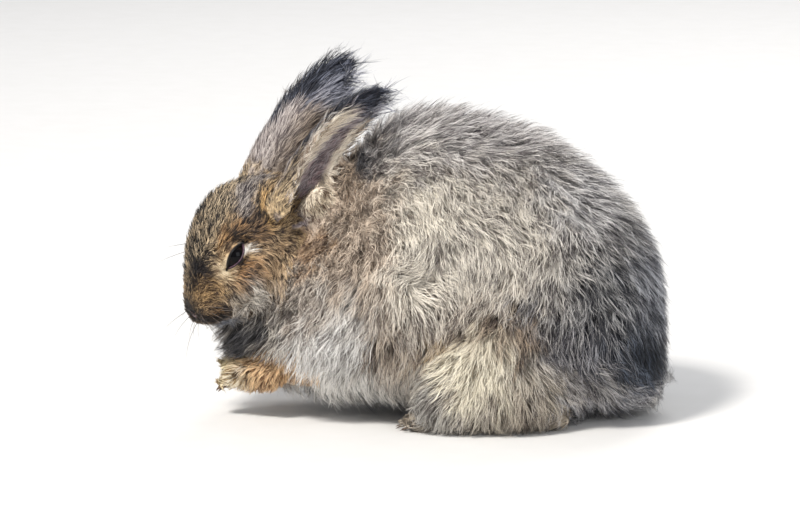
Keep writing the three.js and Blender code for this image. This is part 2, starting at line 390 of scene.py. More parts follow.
def eyes_and_nose(points):
    """Which points are on the nose, or within 15 mm of an eye's front."""
    here = in_head(points)
    picked = (here[:, 0] < -24) & (here[:, 2] < -4) & front_of_face(points)
    for side in SIDES.values():
        picked |= np.linalg.norm(here - eye_frame(side)[0] - (0, side * 8, 0), axis=1) < 15
    return picked


def lay_skin():
    """The skin: the solids' cast, smoothed, drawn in by the coat's depth, then refined and sculpted at the
    face. Also its arrays, and the number of the node that lies nearest to each point."""
    skin = cast_of_solids()
    points, triangles, owners = solids(0)
    tree = BVHTree.FromPolygons(points.tolist(), triangles.tolist())

    def nearest_nodes():
        return owners[[tree.find_nearest(p)[2] for p in surface.points.tolist()]]

    def keep():
        skin.data.vertices.foreach_set("co", surface.points.astype(np.float32).ravel())

    surface = Surface(skin.data)
    kinds = KINDS[nearest_nodes()]
    depth = np.array([COAT_DEPTH[kind] for kind in kinds]) * MM
    slim = surface.spread(np.isin(kinds, ("ear", "foreleg", "hind_foot")) * 1.0, 6)
    depth = surface.spread(depth, 26) * (1 - slim) + surface.spread(depth, 6) * slim
    surface.fair(24, 1 - 0.6 * slim)
    steps = 10
    for _ in range(steps):
        surface.points -= surface.normals() * (depth / steps)[:, None]
        surface.fair(2, 1 - 0.8 * slim)
    surface.points[:, 2] = np.maximum(surface.points[:, 2], SOLE)
    for near, times in ((front_of_face, 6), (eyes_and_nose, 4)):
        keep()
        refine(skin.data, near)
        surface = Surface(skin.data)
        surface.fair(times, near(surface.points) * 1.0)
    sculpt_face(surface)
    keep()
    skin.data.polygons.foreach_set("use_smooth", np.ones(len(skin.data.polygons), bool))
    skin.data.update()
    return skin, surface, nearest_nodes()


skin, hide, owner = lay_skin()
hide_normals = hide.normals()
hide_tree = BVHTree.FromPolygons(hide.points.tolist(), hide.triangles.tolist())
KIND = KINDS[owner]
HEAD = np.isin(KIND, ("head", "eye"))


# ---------------------------------------------------------------- ears, as frames

# The sections of an ear, as in the solids: share of the height, radius, half angle in degrees, wall and
# lean.
EAR_SECTIONS = np.array([
    (-0.03, 9, 150, 5, 0), (0.07, 15.5, 150, 5.5, 0), (0.19, 18.5, 138, 5.5, -1),
    (0.34, 18, 112, 5, -6), (0.5, 16.5, 94, 4.6, -9), (0.66, 15.5, 80, 4.4, -8.5),
    (0.82, 13, 68, 4.2, -5.5), (0.94, 9, 56, 3.6, -1.5), (1, 4.5, 44, 2.6, 1.5),
])
EAR_AXIS = 12  # millimetres from the stem to the back of the ear


class Ear:
    """An ear's own frame: from base to tip, the way it opens, and across."""

    def __init__(self, base, tip, open_way, width, rear):
        self.base = np.array(base) * MM
        stem = np.array(tip) * MM - self.base
        self.length, self.up = np.linalg.norm(stem), unit(stem)
        self.open = across(np.array(open_way), self.up)
        self.side = np.cross(self.up, self.open)
        self.width, self.rear = width, rear

    def at(self, points):
        """Share of the height; place round the section, from -1 at the front edge over 0 in the middle of
        the back to 1 at the rear edge; and 0 on the outer face, 1 in the hollow."""
        off = points - self.base
        height = off @ self.up / self.length
        shares, *columns = EAR_SECTIONS.T
        radius, half, wall, lean = (np.interp(height, shares, column) for column in columns)
        radius = radius * (1 + (self.width - 1) * np.clip(height / 0.3, 0, 1))
        sideways = off @ self.side / MM
        forwards = off @ self.open / MM - (lean + radius - EAR_AXIS)
        turn = np.degrees(np.arctan2(sideways, -forwards)) / half
        depth = (radius - np.hypot(forwards, sideways)) / (wall * (1 - 0.45 * np.minimum(turn**2, 1)))
        return height, turn * self.rear, ease(0.35, 0.65, depth)


EARS = {
    "ear_left": Ear((-98.7, -25, 130), (-28.7, -38, 211), (0.42, -0.78, -0.4), 0.88, 1),
    "ear_right": Ear((-117.7, 14, 133), (-49.7, 30, 223), (0.4, 0.75, -0.34), 1.2, -1),
}


def on_ears(points, owner):
    """For each ear: its frame, which points are its own, and where they are on it."""
    for node, ear in EARS.items():
        yield (ear, owner == NODES.index(node), *ear.at(points))


# ---------------------------------------------------------------- markings and some painted shade, for skin and coat alike

# Body patches, in millimetres: middle and half sizes, then the light hair, the dark hair and the share of
# dark. Both sides of the body are alike, so Y counts from the middle outwards.
BODY_PATCHES = [
    ("back", (40, 0, 195), (110, 60, 34), (226, 221, 217), (108, 101, 103), 0.38),
    ("back_rear", (104, 40, 150), (34, 50, 30), (232, 228, 224), (98, 94, 98), 0.38),
    ("nape", (-60, 30, 146), (34, 44, 30), (222, 204, 184), (104, 86, 74), 0.37),
    ("behind_ear", (-60, 24, 160), (16, 24, 13), (188, 168, 146), (66, 56, 50), 0.5),
    # under_ear: the nape's slate-grey fur, made darker still as painted shade under the ear.
    ("under_ear", (-47, 22, 176), (20, 26, 11), (134, 132, 134), (50, 50, 57), 0.58),
    ("shoulder", (-46, 66, 120), (36, 40, 34), (216, 198, 178), (104, 90, 78), 0.42),
    ("collar", (-86, 42, 114), (22, 30, 16), (214, 181, 146), (82, 62, 50), 0.4),
    ("cheek_shade", (-98, 46, 84), (7, 16, 24), (150, 128, 104), (60, 48, 40), 0.55),
    ("chest", (-72, 50, 50), (50, 90, 36), (236, 233, 228), (126, 120, 116), 0.3),
    ("chest_up", (-84, 54, 82), (20, 26, 17), (204, 192, 178), (96, 84, 76), 0.44),
    ("chest_front", (-97, 44, 56), (12, 28, 21), (196, 188, 176), (76, 70, 66), 0.54),
    ("chest_low", (-56, 60, 22), (42, 90, 26), (240, 237, 231), (138, 133, 128), 0.26),
    ("elbow", (-24, 84, 62), (13, 40, 34), (209, 195, 178), (95, 82, 72), 0.44),
    ("flank_top", (0, 80, 138), (30, 40, 28), (244, 236, 220), (122, 112, 102), 0.28),
    ("whorl", (-6, 84, 104), (22, 30, 28), (244, 236, 221), (110, 100, 90), 0.36),
    ("flank", (40, 84, 118), (44, 50, 40), (230, 222, 208), (106, 98, 94), 0.36),
    ("flank_low", (38, 92, 84), (34, 40, 20), (232, 221, 205), (90, 80, 74), 0.34),
    ("side_dark", (62, 86, 76), (12, 30, 20), (150, 147, 148), (46, 46, 54), 0.58),
    ("flank_brown", (38, 90, 68), (40, 40, 15), (170, 150, 128), (64, 52, 46), 0.6),
    ("flank_gold", (6, 90, 58), (22, 30, 9), (206, 180, 142), (88, 70, 54), 0.46),
    ("elbow_dark", (-30, 82, 64), (8, 30, 14), (188, 172, 154), (72, 62, 55), 0.48),
    ("knee", (32, 96, 46), (22, 50, 25), (240, 232, 211), (136, 124, 104), 0.2),
    ("knee_front", (0, 90, 26), (15, 40, 24), (184, 180, 172), (92, 86, 82), 0.46),
    ("thigh", (66, 92, 24), (24, 40, 24), (202, 190, 172), (94, 84, 76), 0.46),
    ("rump", (112, 60, 84), (38, 80, 38), (182, 179, 176), (36, 36, 42), 0.64),
    ("rump_back", (146, 30, 98), (26, 60, 40), (198, 198, 202), (56, 56, 64), 0.46),
    ("rump_low", (98, 84, 56), (24, 40, 20), (178, 174, 174), (46, 46, 54), 0.6),
    # rump_dark: the rump's own blue-grey, darkened as painted shade where the low rear of the rump faces
    # down.
    ("rump_dark", (134, 62, 46), (27, 60, 30), (96, 104, 118), (18, 22, 30), 0.76),
    ("rump_foot", (110, 64, 16), (34, 60, 15), (206, 204, 206), (104, 102, 108), 0.4),
    ("belly", (-10, 0, 4), (110, 60, 18), (206, 206, 208), (126, 124, 128), 0.3),
    ("tail", (142, 0, 20), (26, 26, 26), (206, 204, 202), (120, 118, 122), 0.35),
    # throat: painted shade under the chin, laid over the throat's grey fur.
    ("throat_painted_shade", (-121, 34, 58), (16, 28, 23), (78, 76, 78), (24, 23, 26), 0.72),
]
# Face patches, in the head's frame.
FACE_PATCHES = [
    ("crown", (14, 0, 26), (44, 26, 22), (212, 190, 158), (24, 22, 24), 0.7),
    ("bridge", (-16, 0, 12), (20, 14, 12), (212, 190, 158), (24, 22, 24), 0.72),
    ("front_band", (1, 22, 10), (7, 5, 9), (208, 166, 114), (112, 82, 56), 0.36),
    ("bridge_side", (-26, 8, 0), (12, 7, 9), (140, 118, 88), (40, 34, 30), 0.62),
    ("eye_dip", (-21, 10, 4), (6, 7, 6), (72, 62, 58), (22, 20, 24), 0.88),
    ("muzzle_side", (-29, 15, -7), (13, 9, 9), (188, 154, 108), (64, 48, 38), 0.5),
    ("nose", (-41, 0, -13), (9, 9, 10), (62, 50, 40), (20, 17, 15), 0.74),
    ("whisker_pad", (-33, 12, -23), (10, 9, 8), (128, 98, 68), (22, 18, 16), 0.8),
    # lip: the chin's pale grey fur, with a blue-grey cast of painted shade under the mouth.
    ("lip", (-33, 0, -34), (14, 14, 6), (196, 198, 204), (108, 112, 122), 0.35),
    ("eye_ring_front", (-11.5, 23, -3), (7.5, 9, 8.5), (238, 220, 186), (160, 130, 98), 0.22),
    ("eye_ring_above", (-2, 26, 3.5), (10, 7, 3.2), (216, 190, 150), (120, 92, 64), 0.3),
    ("above_eye", (10, 28, 8), (15, 10, 8), (164, 128, 90), (38, 30, 26), 0.72),
    ("temple", (20, 30, -2), (9, 10, 7), (160, 128, 94), (54, 42, 36), 0.56),
    ("under_eye", (-2, 29, -13), (13, 10, 5.5), (176, 132, 86), (50, 38, 30), 0.56),
    ("eye_back_white", (8.2, 29, -3.4), (4.8, 8, 3.3), (255, 252, 246), (206, 190, 170), 0.12),
    ("cheek", (-8, 27, -28), (21, 16, 12), (230, 222, 210), (76, 66, 60), 0.42),
    ("jaw", (16, 34, -22), (16, 14, 14), (218, 188, 150), (64, 49, 39), 0.44),
    ("ear_root", (36, 29, 3), (10, 12, 11), (226, 184, 124), (36, 28, 26), 0.42),
]
# Streaks: a line, with both sides alike, and its width, then colours as for the patches.
FACE_STREAKS = [
    ("silver_root", [(54, 8, 18), (36, 16, 21), (23, 23, 15)], 7.0, (182, 174, 168), (66, 58, 60), 0.56),
    ("slit", [(42, 20, 17.5), (36.5, 23.2, 14), (31, 26.2, 9.5), (27, 28, 5)],
     1.7, (54, 46, 42), (16, 14, 14), 0.95),
    ("behind_lid", [(-3, 28, -7.5), (4, 29, -8), (11, 30, -6.5)], 1.5, (64, 50, 42), (24, 20, 20), 0.88),
    ("brow_dark", [(12, 27, 6), (22, 28, 5), (32, 30, 2)], 3.0, (112, 92, 74), (34, 28, 26), 0.7),
]
BODY_STREAKS = [
    # jaw_crease: painted shade, a dark band in the crease between the cheek and the chest.
    ("jaw_crease", [(-80, 39, 118), (-88, 41, 108), (-96, 44, 93), (-105, 44, 75)],
     6.4, (86, 67, 52), (22, 18, 17), 0.9),
    ("whorl_gap", [(-20, 77, 112), (-23, 77, 100), (-22, 79, 88), (-21, 81, 76), (-17, 82, 66)],
     5.0, (178, 166, 150), (66, 58, 52), 0.58),
    ("toe_white", [(-114, 33, 37), (-121, 30, 36)], 2.8, (255, 252, 242), (196, 178, 148), 0.12),
    ("toe_white_low", [(-116, 33, 24), (-124, 30, 26)], 3.8, (250, 243, 226), (190, 158, 104), 0.22),
    ("toe_ochre", [(-120, 28, 40), (-132, 25, 36)], 2.8, (230, 184, 98), (130, 92, 44), 0.36),
    # between_toes: painted shade in the gaps between the toes.
    ("between_toes", [(-115, 33, 32), (-126, 27, 31)], 1.5, (104, 76, 48), (36, 26, 20), 0.88),
]
PLAIN_BODY = ((222, 214, 202), (104, 96, 92), 0.44)
PLAIN_FACE = ((192, 164, 124), (60, 48, 42), 0.5)
EAR_BACK = ((206, 196, 190), (104, 94, 94), 0.36)
EAR_BROWN = ((176, 156, 134), (70, 58, 52), 0.52)
EAR_DARK = ((112, 116, 132), (26, 30, 42), 0.8)
EAR_SILVER = ((190, 190, 200), (84, 86, 98), 0.4)
EAR_INSIDE = ((190, 178, 178), (98, 86, 90), 0.46)
EAR_FRINGE = ((255, 245, 228), (190, 165, 141), 0.14)
EAR_TAN = ((202, 180, 146), (58, 48, 44), 0.54)
EAR_GOLD = ((218, 192, 152), (40, 32, 27), 0.44)
EAR_LOBE = ((244, 230, 206), (96, 76, 62), 0.3)
PAW = ((236, 200, 154), (120, 86, 58), 0.42)
PAW_TIP = ((240, 226, 188), (150, 116, 70), 0.36)
HIND_PAW = ((192, 178, 158), (100, 90, 80), 0.46)


def markings(points, owner):
    """The coat's colours at each place: its light hair, its dark hair and the share of dark hair. Soft
    patches are laid over a plain ground in turn, with ragged edges from a random field."""
    ragged = wander(points, 14, 30, 12)
    kinds, here, place = KINDS[owner], in_head(points), points / MM
    head = np.isin(kinds, ("head", "eye"))
    hair = np.zeros((len(points), 7))

    def lay(mask, light, dark, share):
        nonlocal hair
        hair = blend(hair, np.concatenate([srgb(light), srgb(dark), [share]]), mask)

    def lay_patches(patches, place, within, roughness):
        for _, centre, radii, *finish in patches:
            lay(spot(mirrored(place) + ragged * roughness, centre, radii) * within, *finish)

    lay(np.ones(len(points)), *PLAIN_BODY)
    lay_patches(BODY_PATCHES, place, ~head, 7.0)
    lay(head, *PLAIN_FACE)
    lay_patches(FACE_PATCHES, here, head, 1.2)
    lay(kinds == "foreleg", *PAW)
    lay((kinds == "foreleg") * spot(place, (-134, -8, 30), (21, 36, 24)), *PAW_TIP)
    lay(kinds == "hind_foot", *HIND_PAW)
    for streaks, at in ((FACE_STREAKS, here), (BODY_STREAKS, place)):
        for _, path, width, *finish in streaks:
            far = distance_to_path(mirrored(at) + ragged * 0.8, path)
            lay(0.9 * np.exp(-((far / width) ** 4)), *finish)
    rough = ragged[:, 0] * 0.05
    for _, own, height, turn, hollow in on_ears(points, owner):
        back, inside = own * (1 - hollow), own * hollow
        rim = np.clip(ease(0.56, 0.72, turn) + ease(0.14, -0.08, turn), 0, 1) * ease(0.14, 0.24, height)
        lay(own, *EAR_BACK)
        lay(back * ease(0.42, 0.62, -turn + rough), *EAR_TAN)
        lay(back * ease(0.35, 0.6, turn + rough) * 0.7, *EAR_TAN)
        lay(own * ease(0.56, 0.71, height + 0.26 * ease(0.1, 0.5, -turn) * (1 - hollow) + rough), *EAR_DARK)
        silver = ease(0.6, 0.7, height) * ease(-0.1, 0.2, turn) * ease(0.88, 0.8, height)
        lay(own * silver * 0.75, *EAR_SILVER)
        front = ease(-0.66, -0.84, turn) * ease(0.28, 0.4, height) * ease(0.72, 0.6, height)
        lay(back * front * 0.6, *EAR_FRINGE)
        lay(own * ease(0.68, 0.8, height) * ease(0.6, 0.85, turn) * 0.8, *EAR_SILVER)
        lay(inside, *EAR_INSIDE)
        lay(inside * rim * ease(0.78, 0.7, height), *EAR_FRINGE)
        lay(inside * ease(0.72, 0.8, height + rough) * ease(0.85, 0.55, turn), *EAR_DARK)
        lay(inside * ease(0.76, 0.84, height + rough) * ease(0.5, 0.8, turn), *EAR_SILVER)
        lay(back * ease(-0.1, 0.35, turn) * ease(0.72, 0.56, height) * 0.75, *EAR_BROWN)
        lay(back * ease(0.24, 0.12, height + rough) * ease(0.5, 0.0, turn), *EAR_GOLD)
        lay(own * ease(0.42, 0.34, height) * ease(0.1, 0.2, height) * ease(0.55, 0.7, turn), *EAR_LOBE)
    return hair[:, :3], hair[:, 3:6], np.clip(hair[:, 6] + ragged[:, 1] * 0.10, 0.02, 0.95)


# ---------------------------------------------------------------- how the hair lies

# The way the hair points at places of the body, in millimetres: a place and a direction. Both sides are
# alike, so Y counts outwards.
BODY_LIE = [
    (40, 0, 200, 1, 0.25, 0.05), (-20, 30, 190, 1, 0.25, 0.1), (-55, 35, 150, 0.9, 0.3, 0.1),
    (-38, 50, 147, 0.8, 0.3, -0.35), (-64, 53, 122, 0.35, 0.2, -0.9), (-38, 72, 118, 0.25, 0.1, -1),
    (-83, 35, 118, 0.3, 0.3, -0.9), (50, 60, 156, 0.15, 0.5, -0.9), (82, 62, 140, 0.05, 0.5, -0.95),
    (20, 62, 158, 0.25, 0.45, -0.9), (-16, 62, 146, 0.3, 0.3, -0.8), (60, 30, 184, 0.8, 0.45, -0.3),
    (115, 35, 151, 0.2, 0.4, -0.9), (139, 40, 119, -0.1, 0.2, -1), (131, 65, 74, -0.3, 0, -1),
    (99, 85, 78, -0.3, 0, -1), (66, 88, 111, -0.1, 0.15, -1), (34, 90, 95, 0, 0.1, -1),
    (14, 85, 114, 0.25, 0.15, -1), (-23, 80, 77, 0.05, 0, -1), (-10, 80, 27, -0.65, 0, -0.75),
    (17, 98, 39, -0.4, 0, -1), (66, 95, 30, 0, 0, -1), (90, 80, 23, 0.7, 0, -0.6),
    (115, 65, 25, 0.7, 0, -0.5), (-83, 62, 55, -0.35, 0, -1), (-98, 46, 54, -0.1, 0, -1),
    (-120, 10, 60, -0.35, 0, -0.9), (-83, 42, 112, 0.5, 0.3, -0.8), (-94, 44, 98, 0.3, 0.3, -0.9),
    (-98, 48, 80, 0.05, 0.2, -1), (-70, 65, 84, -0.45, 0.1, -0.9), (-54, 70, 98, -0.25, 0.1, -0.95),
    (157, 0, 70, 0.1, 0, -1), (150, 0, 110, 0.3, 0, -0.9), (-40, 50, 20, 0.3, 0, -0.9),
]
# The same for the head, in its own frame.
HEAD_LIE = [
    (-16, 0, 14, 1, 0.05, 0.3), (10, 0, 28, 1, 0.1, 0), (35, 0, 28, 1, 0.2, -0.1),
    (-40, 3, -14, 0.6, 0.5, 0.3), (-28, 14, -8, 0.9, 0.3, -0.1), (-33, 12, -23, 0.6, 0.4, -0.5),
    (4, 22, 13, 0.94, 0.2, 0.28), (12, 29, 0, 0.93, 0.39, -0.2), (-14, 20, 0, 0.6, 0.3, -0.6),
    (2, 30, -13, 0.38, 0.35, -0.8), (-22, 20, -12, 0, 0.28, -0.95), (-10, 28, -26, -0.5, 0.25, -0.8),
    (-20, 18, -31, -0.5, 0.3, -0.8), (14, 33, -22, -0.6, -0.05, -0.6), (20, 32, -10, 0.3, 0.3, -0.7),
    (-25, 5, -36, 0.7, 0, -0.4), (30, 30, 5, 1, 0.2, 0.2), (30, 17, 19, 0.88, 0.12, 0.46),
    (34, 26, 11, 0.8, 0.1, 0.5),
]
WHORL = (-8, -83, 98)  # where the flank's hair turns in a ring, in millimetres


def lie_between(points, keys, reach):
    """The directions of the keys blended by nearness, with one over the fourth power of the distance. Their
    sideways part fades out towards the middle, so that the hair has no parting there."""
    total = np.zeros((len(points), 3))
    for key in np.array(keys):
        near = 1 / (((mirrored(points) - key[:3]) ** 2).sum(1) + reach**2) ** 2
        total += near[:, None] * unit(key[3:])
    total[:, 1] *= np.clip(points[:, 1] / (1.4 * reach), -1, 1)
    return unit(total)


def lie_of_hair():
    """The way the hair points at each point of the skin, as unit rows along the skin."""
    points, place = hide.points, hide.points / MM
    ways = lie_between(place, BODY_LIE, 12)
    ring = spot(place, WHORL, (18, 30, 18), 0.6)
    ways = blend(ways, unit(np.cross(place - WHORL, [0, 1, 0]) + 1e-6) + 0.3 * ways, ring * 0.8)
    woolly = spot(mirrored(place), (-55, 45, 140), (34, 50, 34))[:, None]
    ways += 0.26 * wander(points, 45, 50) + 0.3 * wander(points, 15, 54) + 0.22 * wander(points, 7, 64)
    ways += woolly * 0.55 * wander(points, 9, 57)
    head = lie_between(in_head(points), HEAD_LIE, 5) + 0.22 * wander(points, 14, 60) @ HEAD_AXES
    ways[HEAD] = (head @ HEAD_AXES.T)[HEAD]
    for ear, own, height, turn, inside in on_ears(points, owner):
        wide = ear.width > 1
        outwards = 0.22 * np.clip(turn, -1, 1) + inside * (0.28 * ease(0.35, 0.0, turn) + 0.2 * turn)
        outwards -= 0.2 * wide * ease(-0.3, -0.9, turn) * ease(0.4, 0.6, height)
        along = ear.up + (outwards * ear.rear)[:, None] * ear.side + 0.1 * wander(points, 20, 70)
        sweep = ease(0.5, 0.95, height) * (1 - 0.7 * wide * ease(0.1, -0.8, turn))
        swept = ease(0.45, 0.7, height) * ease(0.3, 0.9, turn)
        along += sweep[:, None] * (0.75, 0, -0.25) + swept[:, None] * (0.5, 0, -0.1)
        lobe = ease(0.45, 0.36, height) * ease(0.06, 0.14, height) * ease(0.45, 0.65, turn)
        along = blend(along, ear.side * ear.rear * 1.1 - ear.up * 0.45 + ear.open * 0.3, lobe)
        ways[own] = along[own]
    sides = np.sign(points[:, 1:2])
    toes = ease(-115, -124, place[:, 0])
    reach = blend(np.array([-0.4, 0, -1]), np.array([-1, 0, -0.4]), toes) - sides * (0, 0.3, 0)
    ways[KIND == "hind_foot"] = (-1, 0, -0.25)
    ways[KIND == "foreleg"] = reach[KIND == "foreleg"]
    ways[KIND == "tail"] = ((0.6, 0, 0.5) + sides * (0, 0.25, 0))[KIND == "tail"]
    return across(hide.spread(across(ways, hide_normals), 3), hide_normals)


# The coat by kind of place, in millimetres: length of hair, height of its tips over the skin, its width,
# the swing and the length of its waves, the space between tufts and between the locks in them, how much a
# tuft closes at its tip, how far the hair leaves the skin's curve to point its own way, how far locks
# drift, and the share of hairs that stand out.
FIELDS = (
    "length", "height", "width", "swing", "wave", "spacing", "lock", "closing", "free", "loose", "stray",
)
COAT = {
    "head": (7.2, 3.2, 0.36, 0.35, 8, 1.9, 0.8, 0.3, 0.15, 0.14, 0.05),
    "eye": (2.6, 1.0, 0.28, 0.0, 9, 1.7, 0.7, 0.3, 0.0, 0.05, 0.0),
    "ear": (13, 1.7, 0.35, 0.25, 14, 2.1, 1.2, 0.2, 0.2, 0.06, 0.03),
    "neck": (16, 9.5, 0.36, 1.1, 9, 3.0, 1.2, 0.22, 0.3, 0.2, 0.08),
    "trunk": (20, 12.2, 0.38, 1.1, 12, 3.0, 1.25, 0.16, 0.25, 0.18, 0.07),
    "haunch": (19, 9.5, 0.38, 1.0, 12, 3.0, 1.25, 0.16, 0.25, 0.17, 0.06),
    "tail": (18, 9.0, 0.42, 1.0, 12, 3.2, 1.7, 0.3, 0.4, 0.18, 0.08),
    "foreleg": (10, 3.8, 0.42, 0.4, 10, 2.2, 1.2, 0.3, 0.2, 0.1, 0.03),
    "hind_foot": (9, 3.0, 0.5, 0.3, 9, 2.6, 1.5, 0.4, 0.1, 0.1, 0.0),
}
BUNCH = 0.68  # how much a lock closes at its tip
SOFTNESS = 0.45  # how far a hair is shaded as the skin under it faces, not as its own ribbon does


def coat_fields():
    """Each measure of the coat at each point of the skin, blended over the borders between kinds of
    place."""
    fields = dict(zip(FIELDS, hide.spread(np.array([COAT[kind] for kind in KIND]), 8).T))
    here, place = mirrored(in_head(hide.points)), mirrored(hide.points / MM)
    body, chest = ~HEAD, ~HEAD * (KIND != "foreleg")

    def change(mask, **amounts):
        """Adds an amount where the mask is 1, which for sizes is a share of the size."""
        for key, amount in amounts.items():
            size = fields[key] if key in ("length", "height", "width", "lock") else 1
            fields[key] = fields[key] + amount * mask * size

    nose = ease(-20, -40, here[:, 0]) * HEAD
    crown = ease(-4, 22, here[:, 0]) * ease(0, 14, here[:, 2]) * HEAD
    change(nose, length=-0.62, height=-0.55, width=-0.3)
    change(spot(here, (0, 30, -26), (26, 16, 18)) * HEAD, length=0.9, height=0.25)
    change(crown, length=0.35, height=0.25)
    brow = spot(here, (-2, 0, 22), (34, 17, 16)) * HEAD
    change(brow, height=0.1, closing=0.12, free=0.22, loose=0.08)
    jowl = spot(here, (-10, 27, -30), (20, 12, 10)) * HEAD
    change(jowl, length=0.7, height=0.3, free=0.6)
    whisker_pad = spot(here, (-33, 12, -22), (9, 8, 8)) * HEAD
    change(whisker_pad, length=0.8, swing=0.7, wave=-4.5)
    woolly = np.maximum(spot(place, (-55, 45, 138), (36, 50, 38)), spot(place, (-84, 46, 98), (26, 30, 36)))
    change(woolly * body, length=-0.3, lock=-0.2, swing=0.4, wave=-4.0, loose=0.1)
    crease = spot(place, (-97, 44, 82), (20, 16, 34))
    change(crease * body, length=-0.4, height=-0.35)
    change(ease(105, 150, place[:, 0]), height=-0.3)
    ruff = spot(place, (-116, 20, 60), (14, 34, 20))
    change(ruff * chest, height=0.5, free=0.5)
    change(ease(120, 170, place[:, 2]) * (KIND == "trunk"), stray=0.06)
    change(ease(-92, -112, place[:, 0]) * chest, length=-0.45)
    behind_ear = spot(place, (-62, 24, 154), (16, 22, 16))
    change(behind_ear * body, length=-0.1, height=-0.2)
    apron = spot(place, (-74, 0, 40), (24, 80, 34))
    change(apron * (KIND == "trunk"), length=0.2, free=0.45)
    for _, along, up, out in round_eyes(in_head(hide.points)):
        near = ease(7.0, 0.5, opening(along, up)) * (out > 0) * HEAD
        change(near, length=-0.66, height=-0.8, width=-0.3)
    for ear, own, height, turn, inside in on_ears(hide.points, owner):
        edge = ease(0.3, 0.9, height) * (1 - 0.4 * inside)
        fringe = np.maximum(ease(0.5, 0.8, np.abs(turn)), inside * ease(0.2, -0.05, turn))
        fringe = fringe * ease(0.15, 0.35, height)
        lining, tip = inside * (1 - fringe), ease(0.7, 1.0, height)
        change(own, length=0.3 * edge + 0.25 * fringe * ease(0.9, 0.7, height) + 0.4 * tip, free=0.35 * tip)
        change(own, length=ease(-0.1, 0.3, height) * (1 - 0.2 * lining) - 1, stray=0.09 * tip)
        front_edge = (ear.width > 1) * ease(0.4, 0.6, height) * ease(-0.3, -0.8, turn) * (1 - inside)
        change(own * front_edge, height=0.9, free=0.3)
        wisps = ease(0.5, 0.75, height) * ease(0.3, 0.8, turn)
        change(own * wisps, length=0.5, free=0.3, loose=0.06)
        change(own, height=(1 + 0.5 * edge + 0.5 * fringe) * (1 - 0.5 * lining) - 1)
    return fields


LIE = lie_of_hair()
FIELD = coat_fields()


# ---------------------------------------------------------------- materials

class Value:
    """A socket of a shader. Its operators add Math nodes for numbers and Vector Math nodes for vectors."""

    def __init__(self, sheet, socket):
        self.sheet, self.socket = sheet, socket

    def math(self, operation, other):
        kind = "ShaderNodeMath"
        if any(v.socket.type in ("VECTOR", "RGBA") for v in (self, other) if isinstance(v, Value)):
            kind, other = "ShaderNodeVectorMath", (other,) * 3 if isinstance(other, (int, float)) else other
        return self.sheet.node(kind, {"operation": operation}, [self, other])

    def __add__(self, other):
        return self.math("ADD", other)

    def __sub__(self, other):
        return self.math("SUBTRACT", other)

    def __rsub__(self, other):
        return self.math("MULTIPLY", -1.0).math("ADD", other)

    def __mul__(self, other):
        return self.math("MULTIPLY", other)

    __radd__, __rmul__ = __add__, __mul__


class Sheet:
    """A material's node tree, with one method that adds any node."""

    def __init__(self, name):
        self.material = bpy.data.materials.new(name)
        self.material.use_nodes = True
        self.tree = self.material.node_tree
        self.tree.nodes.clear()

    def node(self, kind, settings, inputs, output=0):
        """Adds a node: settings first, then the value or link of each input, by order or by name."""
        made = self.tree.nodes.new(kind)
        for key, value in settings.items():
            setattr(made, key, value)
        for key, value in inputs.items() if isinstance(inputs, dict) else enumerate(inputs):
            if isinstance(value, Value):
                self.tree.links.new(value.socket, made.inputs[key])
            else:
                made.inputs[key].default_value = value
        return Value(self, made.outputs[output]) if made.outputs else None

    def mix(self, share, a, b):
        """Colour a where share is 0 and b where it is 1."""
        a, b = (v if isinstance(v, Value) else (*srgb(v), 1) for v in (a, b))
        return self.node("ShaderNodeMix", {"data_type": "RGBA"}, {0: share, 6: a, 7: b}, output=2)

    def between(self, low, high, value):
        """0 below low, 1 above high, smooth between them."""
        limits = {0: value, 1: low, 2: high, 3: 0.0, 4: 1.0}
        return self.node("ShaderNodeMapRange", {"interpolation_type": "SMOOTHSTEP"}, limits)

    def stored(self, name, output=2):
        """A value stored on the piece's points: a number by output 2, a colour or a place by output 1."""
        return self.node("ShaderNodeAttribute", {"attribute_name": name}, (), output)

    def place(self):
        """Object coordinates, which are metres in the whole's frame."""
        return self.node("ShaderNodeTexCoord", {}, (), output=3)

    def noise(self, vector, scale, detail=3.0, roughness=0.55):
        """Soft random spots from 0 to 1."""
        inputs = {"Vector": vector, "Scale": scale, "Detail": detail, "Roughness": roughness}
        return self.node("ShaderNodeTexNoise", {}, inputs)

    def bump(self, height, strength, distance):
        """Small relief from a height, with its depth in metres."""
        return self.node("ShaderNodeBump", {}, {"Strength": strength, "Distance": distance, "Height": height})

    def finish(self, colour, roughness, normal=None, **constants):
        """The surface: a Principled shader whose other sockets hold constants."""
        sockets = {"Base Color": colour, "Roughness": roughness}
        sockets.update({key.replace("_", " "): value for key, value in constants.items()})
        if normal is not None:
            sockets["Normal"] = normal
        surface = self.node("ShaderNodeBsdfPrincipled", {}, sockets)
        self.node("ShaderNodeOutputMaterial", {}, {"Surface": surface})
        return self.material


